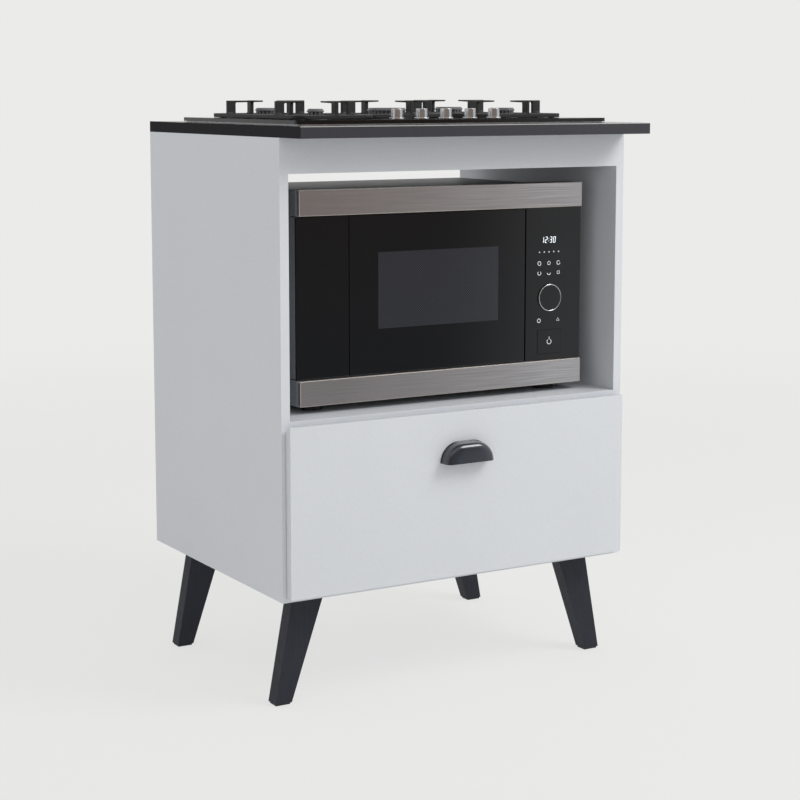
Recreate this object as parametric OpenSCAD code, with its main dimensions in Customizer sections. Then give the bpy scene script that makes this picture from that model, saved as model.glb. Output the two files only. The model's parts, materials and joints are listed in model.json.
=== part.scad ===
// Kitchen base cabinet with a gas hob in its worktop, a microwave oven in its niche and one drawer.
// Millimetres. The front faces -Y, +Z is up, and the origin is on the floor under the middle of the worktop.

/* [Cabinet] */
// Outer width of the cabinet and its worktop
cabinet_w = 650; // [645:5:900]
// Depth of the side panels
carcass_d = 490; // [480:5:600]
// How far the worktop stands out in front of the side panels
front_overhang = 70; // [40:1:100]
// Thickness of the worktop
worktop_t = 18; // [15:1:30]
// Thickness of the coated boards
board_t = 15; // [15:1:19]
// Height of the side panels
carcass_h = 722; // [715:1:850]
// Height of the drawer bay between its two boards
bay_h = 256; // [250:1:265]
// Height of the rail under the front of the worktop
front_rail_h = 55; // [40:1:60]
// Depth of the flat rail under the back of the worktop
rear_rail_d = 45; // [40:1:50]
// Thickness of the back panel of the drawer bay
back_t = 3; // [3:1:6]

/* [Legs] */
// Height of the legs
leg_h = 180; // [100:1:260]
// Thickness of a leg, front to back
leg_t = 25; // [22:1:30]
// Width of a leg at its top
leg_top_w = 58; // [50:1:62]
// Width of a leg at the floor
leg_foot_w = 29; // [24:1:45]
// Distance of a leg's top from the side of the cabinet
leg_top_inset = 40; // [36:1:60]
// Distance of a leg's foot from the side of the cabinet
leg_foot_inset = 7; // [2:1:40]
// Distance of a leg from the front or back edge of the carcass
leg_edge_inset = 43.5; // [40:0.5:60]
// Thickness of the steel leg plates
leg_plate_t = 3; // [2:0.5:4]
// Thickness of the foot glides
glide_t = 3; // [2:0.5:6]

/* [Drawer] */
// Border of the carcass that shows around the drawer front
front_reveal = 7; // [5:0.5:9]
// Bevel on the top back edge of the drawer front
front_bevel = 8; // [2:0.5:10]
// Gap between the closed drawer front and the carcass
front_gap = 1; // [0.5:0.1:2]
// Room behind the closed drawer box
drawer_back_room = 38; // [30:1:100]
// Height of the drawer box
drawer_h = 180; // [120:1:200]
// Thickness of the drawer's sides and back
drawer_board_t = 12; // [12:1:15]
// Thickness of the drawer's bottom
drawer_bottom_t = 3; // [3:0.5:5]
// Room for the runner at each side of the drawer
runner_room = 13; // [13:0.1:15]
// Radius of the runner rollers
roller_r = 9; // [7:0.5:10]

/* [Cup handle] */
// Width of the handle
handle_w = 94; // [92:1:140]
// Height of the handle
handle_h = 33.5; // [30:0.5:42]
// How far the handle stands out
handle_d = 22.5; // [22:0.5:34]
// Rounding between the handle's face and its rim
handle_round = 10; // [6:0.5:14]
// Wall of the handle
handle_wall = 2.2; // [1.8:0.1:3]
// Height of the handle's lower edge above the drawer front's lower edge
handle_rise = 190; // [150:1:220]
// Distance between the handle's screws
handle_pitch = 64; // [56:1:66]

/* [Hob] */
// Distance of the hob's glass from the ends of the worktop
hob_side_margin = 33; // [30:1:60]
// Distance of the hob's glass from the front edge of the worktop
hob_setback = 75; // [74:1:80]
// Distance of the hob's glass from the back edge of the worktop
hob_back_margin = 63; // [55:1:90]
// Thickness of the hob's glass
hob_glass_t = 6; // [4:0.5:8]
// Thickness of the sealing strip under the glass
seal_t = 1.5; // [0.8:0.1:2]
// Height of the hob's steel tray
tray_h = 62; // [60:1:66]
// Sheet thickness of the tray
tray_wall = 1.2; // [1:0.1:2]
// Distance of the side burners from the ends of the glass
burner_side = 109.5; // [105:0.5:112]
// Distance of the front burners from the front edge of the glass
burner_front = 145; // [140:1:150]
// Distance of the back burners from the back edge of the glass
burner_back = 99; // [92:1:106]
// Distance of the middle burner from the back edge of the glass
burner_middle = 192; // [185:1:200]
// Height of the grates above the glass
grate_h = 28.5; // [26:0.5:40]
// Width of a side grate
side_grate_w = 145; // [138:1:150]
// Gap between neighbouring grates
grate_gap = 22; // [10:1:30]
// Distance between neighbouring knobs
knob_pitch = 46; // [40:1:50]
// Distance of the knobs from the front edge of the glass
knob_setback = 40; // [36:1:45]
// Radius of a knob's skirt
knob_r = 12; // [11:0.5:16]
// Height of a knob
knob_h = 16; // [14:0.5:22]
// Radius of the gas inlet's thread
inlet_r = 10.48; // [8:0.01:10.5]

/* [Oven] */
// Width of the oven's front
oven_w = 545; // [535:1:560]
// Height of the oven's front
oven_h = 341; // [330:1:350]
// Depth of the oven
oven_d = 388; // [383:1:420]
// Distance of the oven's front from the front edge of the niche
oven_setback = 42; // [30:1:45]
// Height of the oven's feet
oven_foot_h = 12.5; // [8:0.5:20]
// Height of the steel trim strips
trim_h = 41; // [36:1:45]
// How far the trim strips stand out in front of the glass
trim_proud = 7; // [4:0.5:12]
// Distance of the trim strips' ends from the sides of the oven's front
trim_inset = 2.5; // [0:0.5:6]
// Width of the control panel
control_w = 111; // [100:1:118]
// Width of the narrow pane at the hinge side
hinge_pane_w = 95; // [80:1:105]
// Width of the oven's window
window_w = 230; // [200:1:245]
// Height of the oven's window
window_h = 123; // [110:1:160]
// Height of the window's middle above the door's middle
window_rise = 6; // [0:1:15]
// Depth of the room for the door
door_room = 32; // [30:1:40]
// Width of the cooking cavity
cavity_w = 300; // [290:1:305]
// Height of the cooking cavity
cavity_h = 225; // [200:1:232]
// Radius of the glass turntable
turntable_r = 135; // [110:1:140]
// Radius of the control dial
dial_r = 23; // [18:0.5:28]
// Distance of the dial and the button from the oven's right side
control_inset = 63; // [56:1:66]
// Height of the dial's centre above the oven's lower edge
dial_rise = 147; // [140:1:165]
// Width of the opening button
button_w = 48; // [30:1:56]
// Height of the opening button
button_h = 40; // [30:1:44]
// Height of the button's centre above the oven's lower edge
button_rise = 72; // [70:1:78]
// Travel of the opening button
button_travel = 2.5; // [1:0.1:2.6]

/* [Fits] */
// Radial room round dowels, bolts, cams and screws
fit_gap = 0.1; // [0.05:0.05:0.2]
// Room between pieces that move past each other
run_gap = 0.3; // [0.3:0.05:0.5]
// Room around the oven's door
door_gap = 2.5; // [2:0.1:4]

/* [Hidden] */
$fn = 48;

// Cabinet planes
half_w = cabinet_w / 2;
inner_x = half_w - board_t;
total_d = front_overhang + carcass_d;
top_y0 = -total_d / 2;
top_y1 = total_d / 2;
front_y = top_y0 + front_overhang;
bottom_z1 = leg_h + board_t;
shelf_z0 = bottom_z1 + bay_h;
shelf_z1 = shelf_z0 + board_t;
carcass_z1 = leg_h + carcass_h;
top_z = carcass_z1 + worktop_t;
board_y1 = top_y1 - back_t;

// Dowels, cams and screws of the carcass
dowel_r = 4;
dowel_in_side = 10;
dowel_in_board = 20;
dowel_end_gap = 0.5;
dowel_inset = 45;
rail_dowel_inset = 14;
cam_r = 7.5;
cam_h = 11;
cam_setback = 24;
cam_inset = 110;
cam_bolt_r = 3;
screw_r = 1.75;
screw_head_r = 3.4;
screw_head_h = 1.8;
screw_l = 10;
board_dowel_ys = [front_y + dowel_inset, top_y1 - dowel_inset];
cam_ys = [front_y + cam_inset, top_y1 - cam_inset];
bottom_mid_z = leg_h + board_t / 2;
shelf_mid_z = shelf_z0 + board_t / 2;
rear_rail_mid_z = carcass_z1 - board_t / 2;
front_rail_mid_y = front_y + board_t / 2;
front_rail_dowel_zs = [carcass_z1 - front_rail_h + rail_dowel_inset, carcass_z1 - rail_dowel_inset];
rear_rail_dowel_ys = [top_y1 - rear_rail_d + rail_dowel_inset, top_y1 - rail_dowel_inset];
dowel_points = concat(
    [for (y = board_dowel_ys, z = [bottom_mid_z, shelf_mid_z]) [y, z]],
    [for (z = front_rail_dowel_zs) [front_rail_mid_y, z]],
    [for (y = rear_rail_dowel_ys) [y, rear_rail_mid_z]]
);
cam_points = [for (y = cam_ys, z = [bottom_mid_z, shelf_mid_z]) [y, z]];

// Brackets under the worktop
bracket_leg = 25;
bracket_w = 20;
bracket_t = 2;
bracket_screw = 15;
bracket_front = 90;
bracket_back = 140;
bracket_ys = [front_y + bracket_front, top_y1 - bracket_back];

// Legs
leg_mid_x = half_w - leg_top_inset - leg_top_w / 2;
leg_front_y = front_y + leg_edge_inset;
leg_back_y = top_y1 - leg_edge_inset - leg_t;
leg_mid_ys = [leg_front_y + leg_t / 2, leg_back_y + leg_t / 2];
leg_top_z = leg_h - leg_plate_t;
leg_plate_w = 64;
leg_plate_side = 13;
leg_plate_d = leg_t + 2 * leg_plate_side;
leg_plate_hole_x = 26;
leg_plate_hole_gap = 7;
leg_plate_hole_y = leg_t / 2 + leg_plate_hole_gap;
leg_bolt_r = 4;
leg_bolt_down = 40;
leg_bolt_up = 8;
glide_inset = 2;
leg_screw_points = [
    for (sx = [-1, 1], y = leg_mid_ys, hx = [-1, 1], hy = [-1, 1])
        [sx * leg_mid_x + hx * leg_plate_hole_x, y + hy * leg_plate_hole_y]
];

// Drawer box and its runners
drawer_x = inner_x - runner_room;
drawer_front_y1 = front_y - front_gap;
drawer_front_y0 = drawer_front_y1 - board_t;
drawer_front_z0 = leg_h + front_reveal;
drawer_front_z1 = shelf_z1 - front_reveal;
drawer_front_half = half_w - front_reveal;
drawer_y1 = board_y1 - drawer_back_room;
drawer_l = drawer_y1 - drawer_front_y1;
drawer_lift = 20;
drawer_z0 = bottom_z1 + drawer_lift;
drawer_z1 = drawer_z0 + drawer_h;
drawer_inner_x = drawer_x - drawer_board_t;
drawer_floor_rise = 7;
drawer_floor_z0 = drawer_z0 + drawer_floor_rise;
drawer_floor_z1 = drawer_floor_z0 + drawer_bottom_t;
groove_d = 5;
groove_gap = 0.2;
sheet_t = 1.5;
flange_t = 1.2;
roller_w = 7.6;
roller_side_gap = 2.6;
roller_x0 = drawer_x + roller_side_gap;
roller_x1 = roller_x0 + roller_w;
axle_r = 3;
axle_head_r = 4.4;
axle_head_t = 0.6;
web_x = inner_x - sheet_t;
channel_rise = 1;
channel_z0 = drawer_z0 + channel_rise;
roller_z = channel_z0 + sheet_t + run_gap + roller_r;
flange_z = roller_z + roller_r + run_gap;
lip_gap = 1.2;
lip_z = flange_z + sheet_t + lip_gap;
rail_tab_h = 14;
rail_top_z = lip_z + sheet_t + rail_tab_h;
rail_screw_drop = 6;
rail_screw_z = rail_top_z - rail_screw_drop;
rail_front_gap = 3;
rail_y0 = front_y + rail_front_gap;
rail_y1 = rail_y0 + drawer_l;
rail_screw_inset = 40;
rail_screw_ys = [rail_y0 + rail_screw_inset, rail_y0 + drawer_l / 2, rail_y1 - rail_screw_inset];
front_roller_inset = 18;
front_roller_y = front_y + front_roller_inset;
rear_roller_inset = 15;
rear_roller_y = drawer_y1 - rear_roller_inset;
rail_lip_gap = 3;
rail_lip_x = drawer_x + rail_lip_gap;
drawer_flange_w = 9;
drawer_flange_x = drawer_x + drawer_flange_w;
drawer_runner_gap = 2;
drawer_screw_l = 38;
drawer_screw_low = 55;
drawer_screw_high = 35;
drawer_screw_zs = [drawer_z0 + drawer_screw_low, drawer_z1 - drawer_screw_high];
drawer_cam_r = 6;
drawer_cam_h = 9;
drawer_cam_low = 45;
drawer_cam_high = 30;
drawer_cam_zs = [drawer_z0 + drawer_cam_low, drawer_z1 - drawer_cam_high];
drawer_cam_y = drawer_front_y1 + cam_setback;
drawer_side_mid_x = drawer_x - drawer_board_t / 2;

// Cup handle
handle_z0 = drawer_front_z0 + handle_rise;
handle_arc_x = handle_w / 2 - handle_h;
handle_flange = 1.5;
handle_flange_t = 2;
handle_boss_r = 4.5;
handle_boss_l = 14;
handle_boss_rise = 12;
handle_thread_r = 2;
handle_screw_grip = 10;
handle_screw_l = board_t + handle_screw_grip;

// Hob
hob_y0 = top_y0 + hob_setback;
hob_y1 = top_y1 - hob_back_margin;
hob_w = cabinet_w - 2 * hob_side_margin;
hob_d = hob_y1 - hob_y0;
hob_corner_r = 8;
glass_z0 = top_z + seal_t;
glass_z1 = glass_z0 + hob_glass_t;
tray_inset = 22;
tray_x = hob_w / 2 - tray_inset;
tray_y0 = hob_y0 + tray_inset;
tray_y1 = hob_y1 - tray_inset;
tray_z0 = glass_z0 - tray_h;
cutout_gap = 3;
seal_edge = 4;
burner_dx = hob_w / 2 - burner_side;
burner_front_y = hob_y0 + burner_front;
burner_back_y = hob_y1 - burner_back;
small_cap_r = 14;
medium_cap_r = 18;
large_cap_r = 25;
wok_cap_r = 33;
burners = [
    [-burner_dx, burner_front_y, small_cap_r],
    [-burner_dx, burner_back_y, medium_cap_r],
    [0, hob_y1 - burner_middle, wok_cap_r],
    [burner_dx, burner_back_y, large_cap_r],
    [burner_dx, burner_front_y, medium_cap_r]
];
burner_skirt = 6;
burner_neck_in = 4;
burner_hole_gap = 1;
burner_skirt_t = 3;
crown_h = 8;
crown_in = 1.5;
crown_slot_pitch = 7;
crown_slot_w = 2;
crown_slot_h = 5;
cap_h = 5;
cup_drop = 21;
cup_z0 = glass_z0 - cup_drop;
igniter_r = 1.6;
igniter_h = 7;

// Valves, manifold and pipes under the glass
knob_y = hob_y0 + knob_setback;
knob_xs = [for (k = [-2:2]) k * knob_pitch];
knob_lift = 0.6;
knob_skirt_h = 2;
knob_skirt = 2.2;
knob_body_r = knob_r - knob_skirt;
knob_taper = 0.7;
knob_top_r = knob_body_r - knob_taper;
knob_mark_w = 1.6;
knob_mark_h = 0.5;
spindle_r = 3;
spindle_up = 10;
spindle_hole_r = 6;
valve_w = 24;
valve_d = 28;
pipe_r = 6;
pipe_lift = 3.5;
pipe_z = tray_z0 + tray_wall + pipe_r + pipe_lift;
valve_lift = 1.5;
valve_z0 = pipe_z + pipe_r + valve_lift;
valve_h = 24;
valve_z1 = valve_z0 + valve_h;
feed_r = 3;
feed_rise = 14;
feed_z = valve_z0 + feed_rise;
feed_stub = 8;
elbow_r = 4;
manifold_reach = 30;
manifold_x = 2 * knob_pitch + manifold_reach;
inlet_out = 47.5;
inlet_x = -(burner_dx + inlet_out);
inlet_l = 20;
inlet_collar = 2.5;
inlet_collar_r = inlet_r + inlet_collar;
inlet_collar_t = 4;
clamp_w = 24;
clamp_t = 1.5;
clamp_reach = 18;
clamp_h = 22;
clamp_inset = 120;
clamp_ys = [hob_y0 + clamp_inset, hob_y1 - clamp_inset];

// Grates
grate_foot_h = 0.5;
grate_bar_w = 9;
grate_bar_h = 6.5;
grate_corner_r = 18;
grate_post = 15;
finger_w = 6;
finger_root_h = 3.5;
finger_tip_h = 2.5;
finger_l = 44;
side_grate_front = 72;
side_grate_back = 33;
side_grate_y0 = hob_y0 + side_grate_front;
side_grate_y1 = hob_y1 - side_grate_back;
side_grate_mid_y = (burners[0][1] + burners[1][1]) / 2;
centre_grate_w = 2 * (burner_dx - grate_gap) - side_grate_w;
centre_grate_d = 166;
bar_z0 = glass_z1 + grate_foot_h;
bar_z1 = bar_z0 + grate_bar_h;
grate_z1 = glass_z1 + grate_h;

// Oven
oven_x0 = -oven_w / 2;
oven_x1 = oven_w / 2;
oven_y0 = front_y + oven_setback;
oven_y1 = oven_y0 + oven_d;
oven_z0 = shelf_z1 + oven_foot_h;
oven_z1 = oven_z0 + oven_h;
pane_t = 4;
pane_y = oven_y0 + trim_proud;
cavity_y0 = pane_y + door_room;
door_back_gap = 2;
door_back_y = cavity_y0 - door_back_gap;
control_x0 = oven_x1 - control_w;
door_x1 = control_x0 - door_gap;
door_clear = 1.5;
door_z0 = oven_z0 + trim_h + door_clear;
door_z1 = oven_z1 - trim_h - door_clear;
door_frame_in = 3;
door_frame_x0 = oven_x0 + door_frame_in;
pane_joint = 1.2;
window_x = (oven_x0 + hinge_pane_w + door_x1) / 2;
door_mid_z = (door_z0 + door_z1) / 2;
window_z = door_mid_z + window_rise;
inner_pane_t = 3;
inner_pane_lap = 8;
hinge_in = 10;
hinge_x = oven_x0 + hinge_in;
hinge_depth = 12;
hinge_y = pane_y + hinge_depth;
hinge_pin_r = 4;
hinge_pin_l = 10;
frame_wall = 3;
casing_in = 3;
casing_drop = 8;
casing_wall = 1;
base_t = 1.2;
cavity_wall = 1.2;
cavity_x0 = window_x - cavity_w / 2;
cavity_x1 = window_x + cavity_w / 2;
cavity_z0 = door_mid_z - cavity_h / 2;
cavity_back_gap = 26;
cavity_y1 = oven_y1 - cavity_back_gap;
flange_lap = 10;
control_x = oven_x1 - control_inset;
dial_z = oven_z0 + dial_rise;
dial_proud = 3;
dial_shaft_r = 4;
dial_clip_r = 7;
clip_t = 2;
button_z = oven_z0 + button_rise;
button_proud = 0.6;
button_back_gap = 0.3;
stem_w = 10;
stem_clip = 16;
oven_foot_r = 17;
oven_foot_inset_x = 47;
oven_foot_inset_y = 46;
turntable_x = window_x;
turntable_y = (cavity_y0 + cavity_y1) / 2;
ring_inset = 40.5;
ring_r = turntable_r - ring_inset;
ring_w = 8;
ring_t = 4;
ring_roller_r = 8;
ring_roller_w = 7;
cavity_floor_z = cavity_z0;
ring_axis_z = cavity_floor_z + run_gap + ring_roller_r;
plate_z = ring_axis_z + ring_roller_r + run_gap;
plate_t = 5;
plate_rim = 4;
coupler_r = 14;
coupler_stem_r = 4;
motor_r = 25;
motor_h = 20;
gland_r = 7;
gland_l = 9;
gland_rise = 40;
transformer = [72, 90, 76];
transformer_gap = 22;
transformer_back = 30;
magnetron = [84, 80, 70];
magnetron_front = 60;
magnetron_drop = 30;

// A box between two corners
module block(low, high) {
    translate(low) cube(high - low);
}

// A cylinder that starts at a point and runs along +X, +Y or +Z
module rod(start, axis, r, length) {
    turn = axis == "x" ? [0, 90, 0] : axis == "y" ? [-90, 0, 0] : [0, 0, 0];
    translate(start) rotate(turn) cylinder(r = r, h = length);
}

// A cylinder between two points at one height
module level_pipe(from, to, r) {
    run = to - from;
    translate(from)
        rotate([0, 90, atan2(run[1], run[0])])
            cylinder(r = r, h = norm(run));
}

// A rectangle with round corners, centred
module round_rectangle(w, d, r) {
    square([w - 2 * r, d], center = true);
    square([w, d - 2 * r], center = true);
    for (x = [-1, 1], y = [-1, 1])
        translate([x * (w / 2 - r), y * (d / 2 - r)]) circle(r = r);
}

// Copies of a right-hand shape on both sides
module both_sides() {
    children();
    mirror([1, 0, 0]) children();
}

// A wood screw with its head's top at the origin, driven along +Z
module wood_screw(length) {
    cylinder(r = screw_head_r, h = screw_head_h);
    cylinder(r = screw_r, h = screw_head_h + length);
}

// Bores for dowels and cam bolts in the inner face of a right-hand side panel
module side_bores() {
    for (p = dowel_points)
        rod([inner_x - 1, p[0], p[1]], "x", dowel_r + fit_gap, 1 + dowel_in_side + dowel_end_gap);
    for (p = cam_points)
        rod([inner_x - 1, p[0], p[1]], "x", cam_bolt_r + fit_gap, 1 + dowel_in_side + dowel_end_gap);
    for (y = bracket_ys)
        rod([inner_x - 1, y, carcass_z1 - bracket_screw], "x", screw_r + fit_gap, 1 + screw_l);
    for (y = rail_screw_ys)
        rod([inner_x - 1, y, rail_screw_z], "x", screw_r + fit_gap, 1 + screw_l);
}

// Bores for dowels in the ends of a cross board
module end_dowel_bores(points) {
    both_sides()
        for (p = points)
            rod([inner_x - dowel_in_board - dowel_end_gap, p[0], p[1]], "x", dowel_r + fit_gap,
                dowel_in_board + dowel_end_gap + 1);
}

// Pockets for cams and bores for their bolts in a cross board
module cam_pockets(z0) {
    both_sides()
        for (y = cam_ys) {
            translate([inner_x - cam_setback, y, z0 - 1]) cylinder(r = cam_r + fit_gap, h = cam_h + 1 + fit_gap);
            rod([inner_x - cam_setback, y, z0 + board_t / 2], "x", cam_bolt_r + fit_gap, cam_setback + 1);
        }
}

module side_panel() {
    difference() {
        block([inner_x, front_y, leg_h], [half_w, top_y1, carcass_z1]);
        side_bores();
    }
}

module left_side_panel() {
    color("whitesmoke") mirror([1, 0, 0]) side_panel();
}

module right_side_panel() {
    color("whitesmoke") side_panel();
}

module worktop() {
    color("#2b2b2d") difference() {
        block([-half_w, top_y0, carcass_z1], [half_w, top_y1, top_z]);
        block([-tray_x - cutout_gap, tray_y0 - cutout_gap, carcass_z1 - 1],
              [tray_x + cutout_gap, tray_y1 + cutout_gap, top_z + 1]);
        both_sides()
            for (y = bracket_ys)
                rod([inner_x - bracket_screw, y, carcass_z1 - 1], "z", screw_r + fit_gap, 1 + screw_l);
    }
}

module bottom_panel() {
    color("whitesmoke") difference() {
        block([-inner_x, front_y, leg_h], [inner_x, board_y1, bottom_z1]);
        end_dowel_bores([for (y = board_dowel_ys) [y, bottom_mid_z]]);
        cam_pockets(leg_h);
        for (p = leg_screw_points)
            rod([p[0], p[1], leg_h - 1], "z", screw_r + fit_gap, 1 + screw_l);
        for (sx = [-1, 1], y = leg_mid_ys)
            rod([sx * leg_mid_x, y, leg_h - 1], "z", leg_bolt_r + 1, 1 + leg_bolt_up + 1);
    }
}

module niche_shelf() {
    color("whitesmoke") difference() {
        block([-inner_x, front_y, shelf_z0], [inner_x, board_y1, shelf_z1]);
        end_dowel_bores([for (y = board_dowel_ys) [y, shelf_mid_z]]);
        cam_pockets(shelf_z0);
    }
}

module front_top_rail() {
    color("whitesmoke") difference() {
        block([-inner_x, front_y, carcass_z1 - front_rail_h], [inner_x, front_y + board_t, carcass_z1]);
        end_dowel_bores([for (z = front_rail_dowel_zs) [front_rail_mid_y, z]]);
    }
}

module rear_top_rail() {
    color("whitesmoke") difference() {
        block([-inner_x, top_y1 - rear_rail_d, carcass_z1 - board_t], [inner_x, top_y1, carcass_z1]);
        end_dowel_bores([for (y = rear_rail_dowel_ys) [y, rear_rail_mid_z]]);
    }
}

module back_panel() {
    color("gainsboro") block([-inner_x, board_y1, leg_h], [inner_x, top_y1, shelf_z1]);
}

module carcass_dowels() {
    color("burlywood") both_sides()
        for (p = dowel_points)
            rod([inner_x - dowel_in_board, p[0], p[1]], "x", dowel_r, dowel_in_board + dowel_in_side);
}

module cam_fittings() {
    bolt_start = inner_x - cam_setback + cam_r + fit_gap;
    color("silver") both_sides()
        for (p = cam_points) {
            translate([inner_x - cam_setback, p[0], p[1] - board_t / 2]) cylinder(r = cam_r, h = cam_h);
            rod([bolt_start, p[0], p[1]], "x", cam_bolt_r, inner_x + dowel_in_side - bolt_start);
        }
}

module worktop_brackets() {
    color("silver") both_sides()
        for (y = bracket_ys)
            difference() {
                union() {
                    block([inner_x - bracket_t, y - bracket_w / 2, carcass_z1 - bracket_leg],
                          [inner_x, y + bracket_w / 2, carcass_z1]);
                    block([inner_x - bracket_leg, y - bracket_w / 2, carcass_z1 - bracket_t],
                          [inner_x, y + bracket_w / 2, carcass_z1]);
                }
                rod([inner_x - bracket_t - 1, y, carcass_z1 - bracket_screw], "x", screw_r + fit_gap, bracket_t + 2);
                rod([inner_x - bracket_screw, y, carcass_z1 - bracket_t - 1], "z", screw_r + fit_gap, bracket_t + 2);
            }
}

// Distance of a leg's outer edge and of its inner edge from the cabinet's middle, at a height
function leg_outer_x(z) = half_w - leg_foot_inset + (leg_foot_inset - leg_top_inset) * z / leg_h;
function leg_inner_x(z) = leg_outer_x(z) - leg_foot_w + (leg_foot_w - leg_top_w) * z / leg_h;

// A right-hand leg whose front face is at y
module leg(y) {
    difference() {
        translate([0, y + leg_t, 0])
            rotate([90, 0, 0])
                linear_extrude(leg_t)
                    polygon([
                        [leg_inner_x(glide_t), glide_t],
                        [leg_outer_x(glide_t), glide_t],
                        [leg_outer_x(leg_top_z), leg_top_z],
                        [leg_inner_x(leg_top_z), leg_top_z]
                    ]);
        rod([leg_mid_x, y + leg_t / 2, leg_top_z - leg_bolt_down - dowel_end_gap], "z", leg_bolt_r + fit_gap,
            leg_bolt_down + dowel_end_gap + 1);
    }
}

module leg_front_left() {
    color("#36363a") mirror([1, 0, 0]) leg(leg_front_y);
}

module leg_front_right() {
    color("#36363a") leg(leg_front_y);
}

module leg_back_left() {
    color("#36363a") mirror([1, 0, 0]) leg(leg_back_y);
}

module leg_back_right() {
    color("#36363a") leg(leg_back_y);
}

module leg_fixings() {
    color("gray") both_sides()
        for (y = leg_mid_ys) {
            difference() {
                translate([leg_mid_x - leg_plate_w / 2, y - leg_plate_d / 2, leg_top_z])
                    cube([leg_plate_w, leg_plate_d, leg_plate_t]);
                rod([leg_mid_x, y, leg_top_z - 1], "z", leg_bolt_r + fit_gap, leg_plate_t + 2);
                for (hx = [-1, 1], hy = [-1, 1])
                    rod([leg_mid_x + hx * leg_plate_hole_x, y + hy * leg_plate_hole_y, leg_top_z - 1], "z",
                        screw_r + fit_gap, leg_plate_t + 2);
            }
            rod([leg_mid_x, y, leg_top_z - leg_bolt_down], "z", leg_bolt_r,
                leg_bolt_down + leg_plate_t + leg_bolt_up);
        }
}

module foot_glides() {
    color("#222222") both_sides()
        for (y = [leg_front_y, leg_back_y])
            block([leg_inner_x(glide_t) + glide_inset, y + glide_inset, 0],
                  [leg_outer_x(glide_t) - glide_inset, y + leg_t - glide_inset, glide_t]);
}

// A right-hand rail: a channel on the side panel, with the axle of its front roller
module runner_rail() {
    difference() {
        union() {
            block([web_x, rail_y0, channel_z0], [inner_x, rail_y1, rail_top_z]);
            block([rail_lip_x, rail_y0, channel_z0], [inner_x, rail_y1, channel_z0 + sheet_t]);
            block([rail_lip_x, rail_y0, lip_z], [inner_x, rail_y1, lip_z + sheet_t]);
        }
        for (y = rail_screw_ys)
            rod([web_x - 1, y, rail_screw_z], "x", screw_r + fit_gap, sheet_t + 2);
    }
    rod([roller_x0 - run_gap - axle_head_t, front_roller_y, roller_z], "x", axle_head_r, axle_head_t);
    rod([roller_x0 - run_gap - axle_head_t, front_roller_y, roller_z], "x", axle_r,
        web_x - roller_x0 + run_gap + axle_head_t + sheet_t / 2);
}

module runner_rails() {
    color("white") both_sides() runner_rail();
}

// A right-hand roller with its axle's bore
module roller(y) {
    difference() {
        rod([roller_x0, y, roller_z], "x", roller_r, roller_w);
        rod([roller_x0 - 1, y, roller_z], "x", axle_r + run_gap, roller_w + 2);
    }
}

module cabinet_rollers() {
    color("ivory") both_sides() roller(front_roller_y);
}

module drawer_rollers() {
    color("ivory") both_sides() roller(rear_roller_y);
}

module panel_screws() {
    color("silver") {
        for (p = leg_screw_points)
            translate([p[0], p[1], leg_top_z - screw_head_h]) wood_screw(screw_l + leg_plate_t - 1);
        both_sides() {
            for (y = bracket_ys) {
                translate([inner_x - bracket_t - screw_head_h, y, carcass_z1 - bracket_screw])
                    rotate([0, 90, 0]) wood_screw(screw_l + bracket_t - 1);
                translate([inner_x - bracket_screw, y, carcass_z1 - bracket_t - screw_head_h])
                    wood_screw(screw_l + bracket_t - 1);
            }
            for (y = rail_screw_ys)
                translate([web_x - screw_head_h, y, rail_screw_z])
                    rotate([0, 90, 0]) wood_screw(screw_l + sheet_t - 1);
        }
    }
}

module drawer_front() {
    color("whitesmoke") difference() {
        translate([-drawer_front_half, 0, 0])
            rotate([90, 0, 90])
                linear_extrude(2 * drawer_front_half)
                    polygon([
                        [drawer_front_y0, drawer_front_z0],
                        [drawer_front_y1, drawer_front_z0],
                        [drawer_front_y1, drawer_front_z1 - front_bevel],
                        [drawer_front_y1 - front_bevel, drawer_front_z1],
                        [drawer_front_y0, drawer_front_z1]
                    ]);
        block([-drawer_inner_x - groove_d, drawer_front_y1 - groove_d, drawer_floor_z0 - groove_gap],
              [drawer_inner_x + groove_d, drawer_front_y1 + 1, drawer_floor_z1 + groove_gap]);
        both_sides() {
            rod([handle_pitch / 2, drawer_front_y0 - 1, handle_z0 + handle_boss_rise], "y",
                handle_thread_r + fit_gap, board_t + 2);
            for (z = drawer_cam_zs)
                rod([drawer_side_mid_x, drawer_front_y1 - dowel_in_side - dowel_end_gap, z], "y",
                    cam_bolt_r + fit_gap, dowel_in_side + dowel_end_gap + 1);
        }
    }
}

module drawer_sides() {
    color("whitesmoke") both_sides() difference() {
        block([drawer_inner_x, drawer_front_y1, drawer_z0], [drawer_x, drawer_y1, drawer_z1]);
        block([drawer_inner_x - 1, drawer_front_y1 - 1, drawer_floor_z0 - groove_gap],
              [drawer_inner_x + groove_d, drawer_y1 + 1, drawer_floor_z1 + groove_gap]);
        for (z = drawer_screw_zs) {
            rod([drawer_inner_x - 1, drawer_y1 - drawer_board_t / 2, z], "x", screw_r + fit_gap, drawer_board_t + 2);
            rod([drawer_x - screw_head_h, drawer_y1 - drawer_board_t / 2, z], "x", screw_head_r + fit_gap,
                screw_head_h + 1);
        }
        for (z = drawer_cam_zs) {
            rod([drawer_inner_x - 1, drawer_cam_y, z], "x", drawer_cam_r + fit_gap, drawer_cam_h + 1 + fit_gap);
            rod([drawer_side_mid_x, drawer_front_y1 - 1, z], "y", cam_bolt_r + fit_gap, cam_setback + 1);
        }
    }
}

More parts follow.
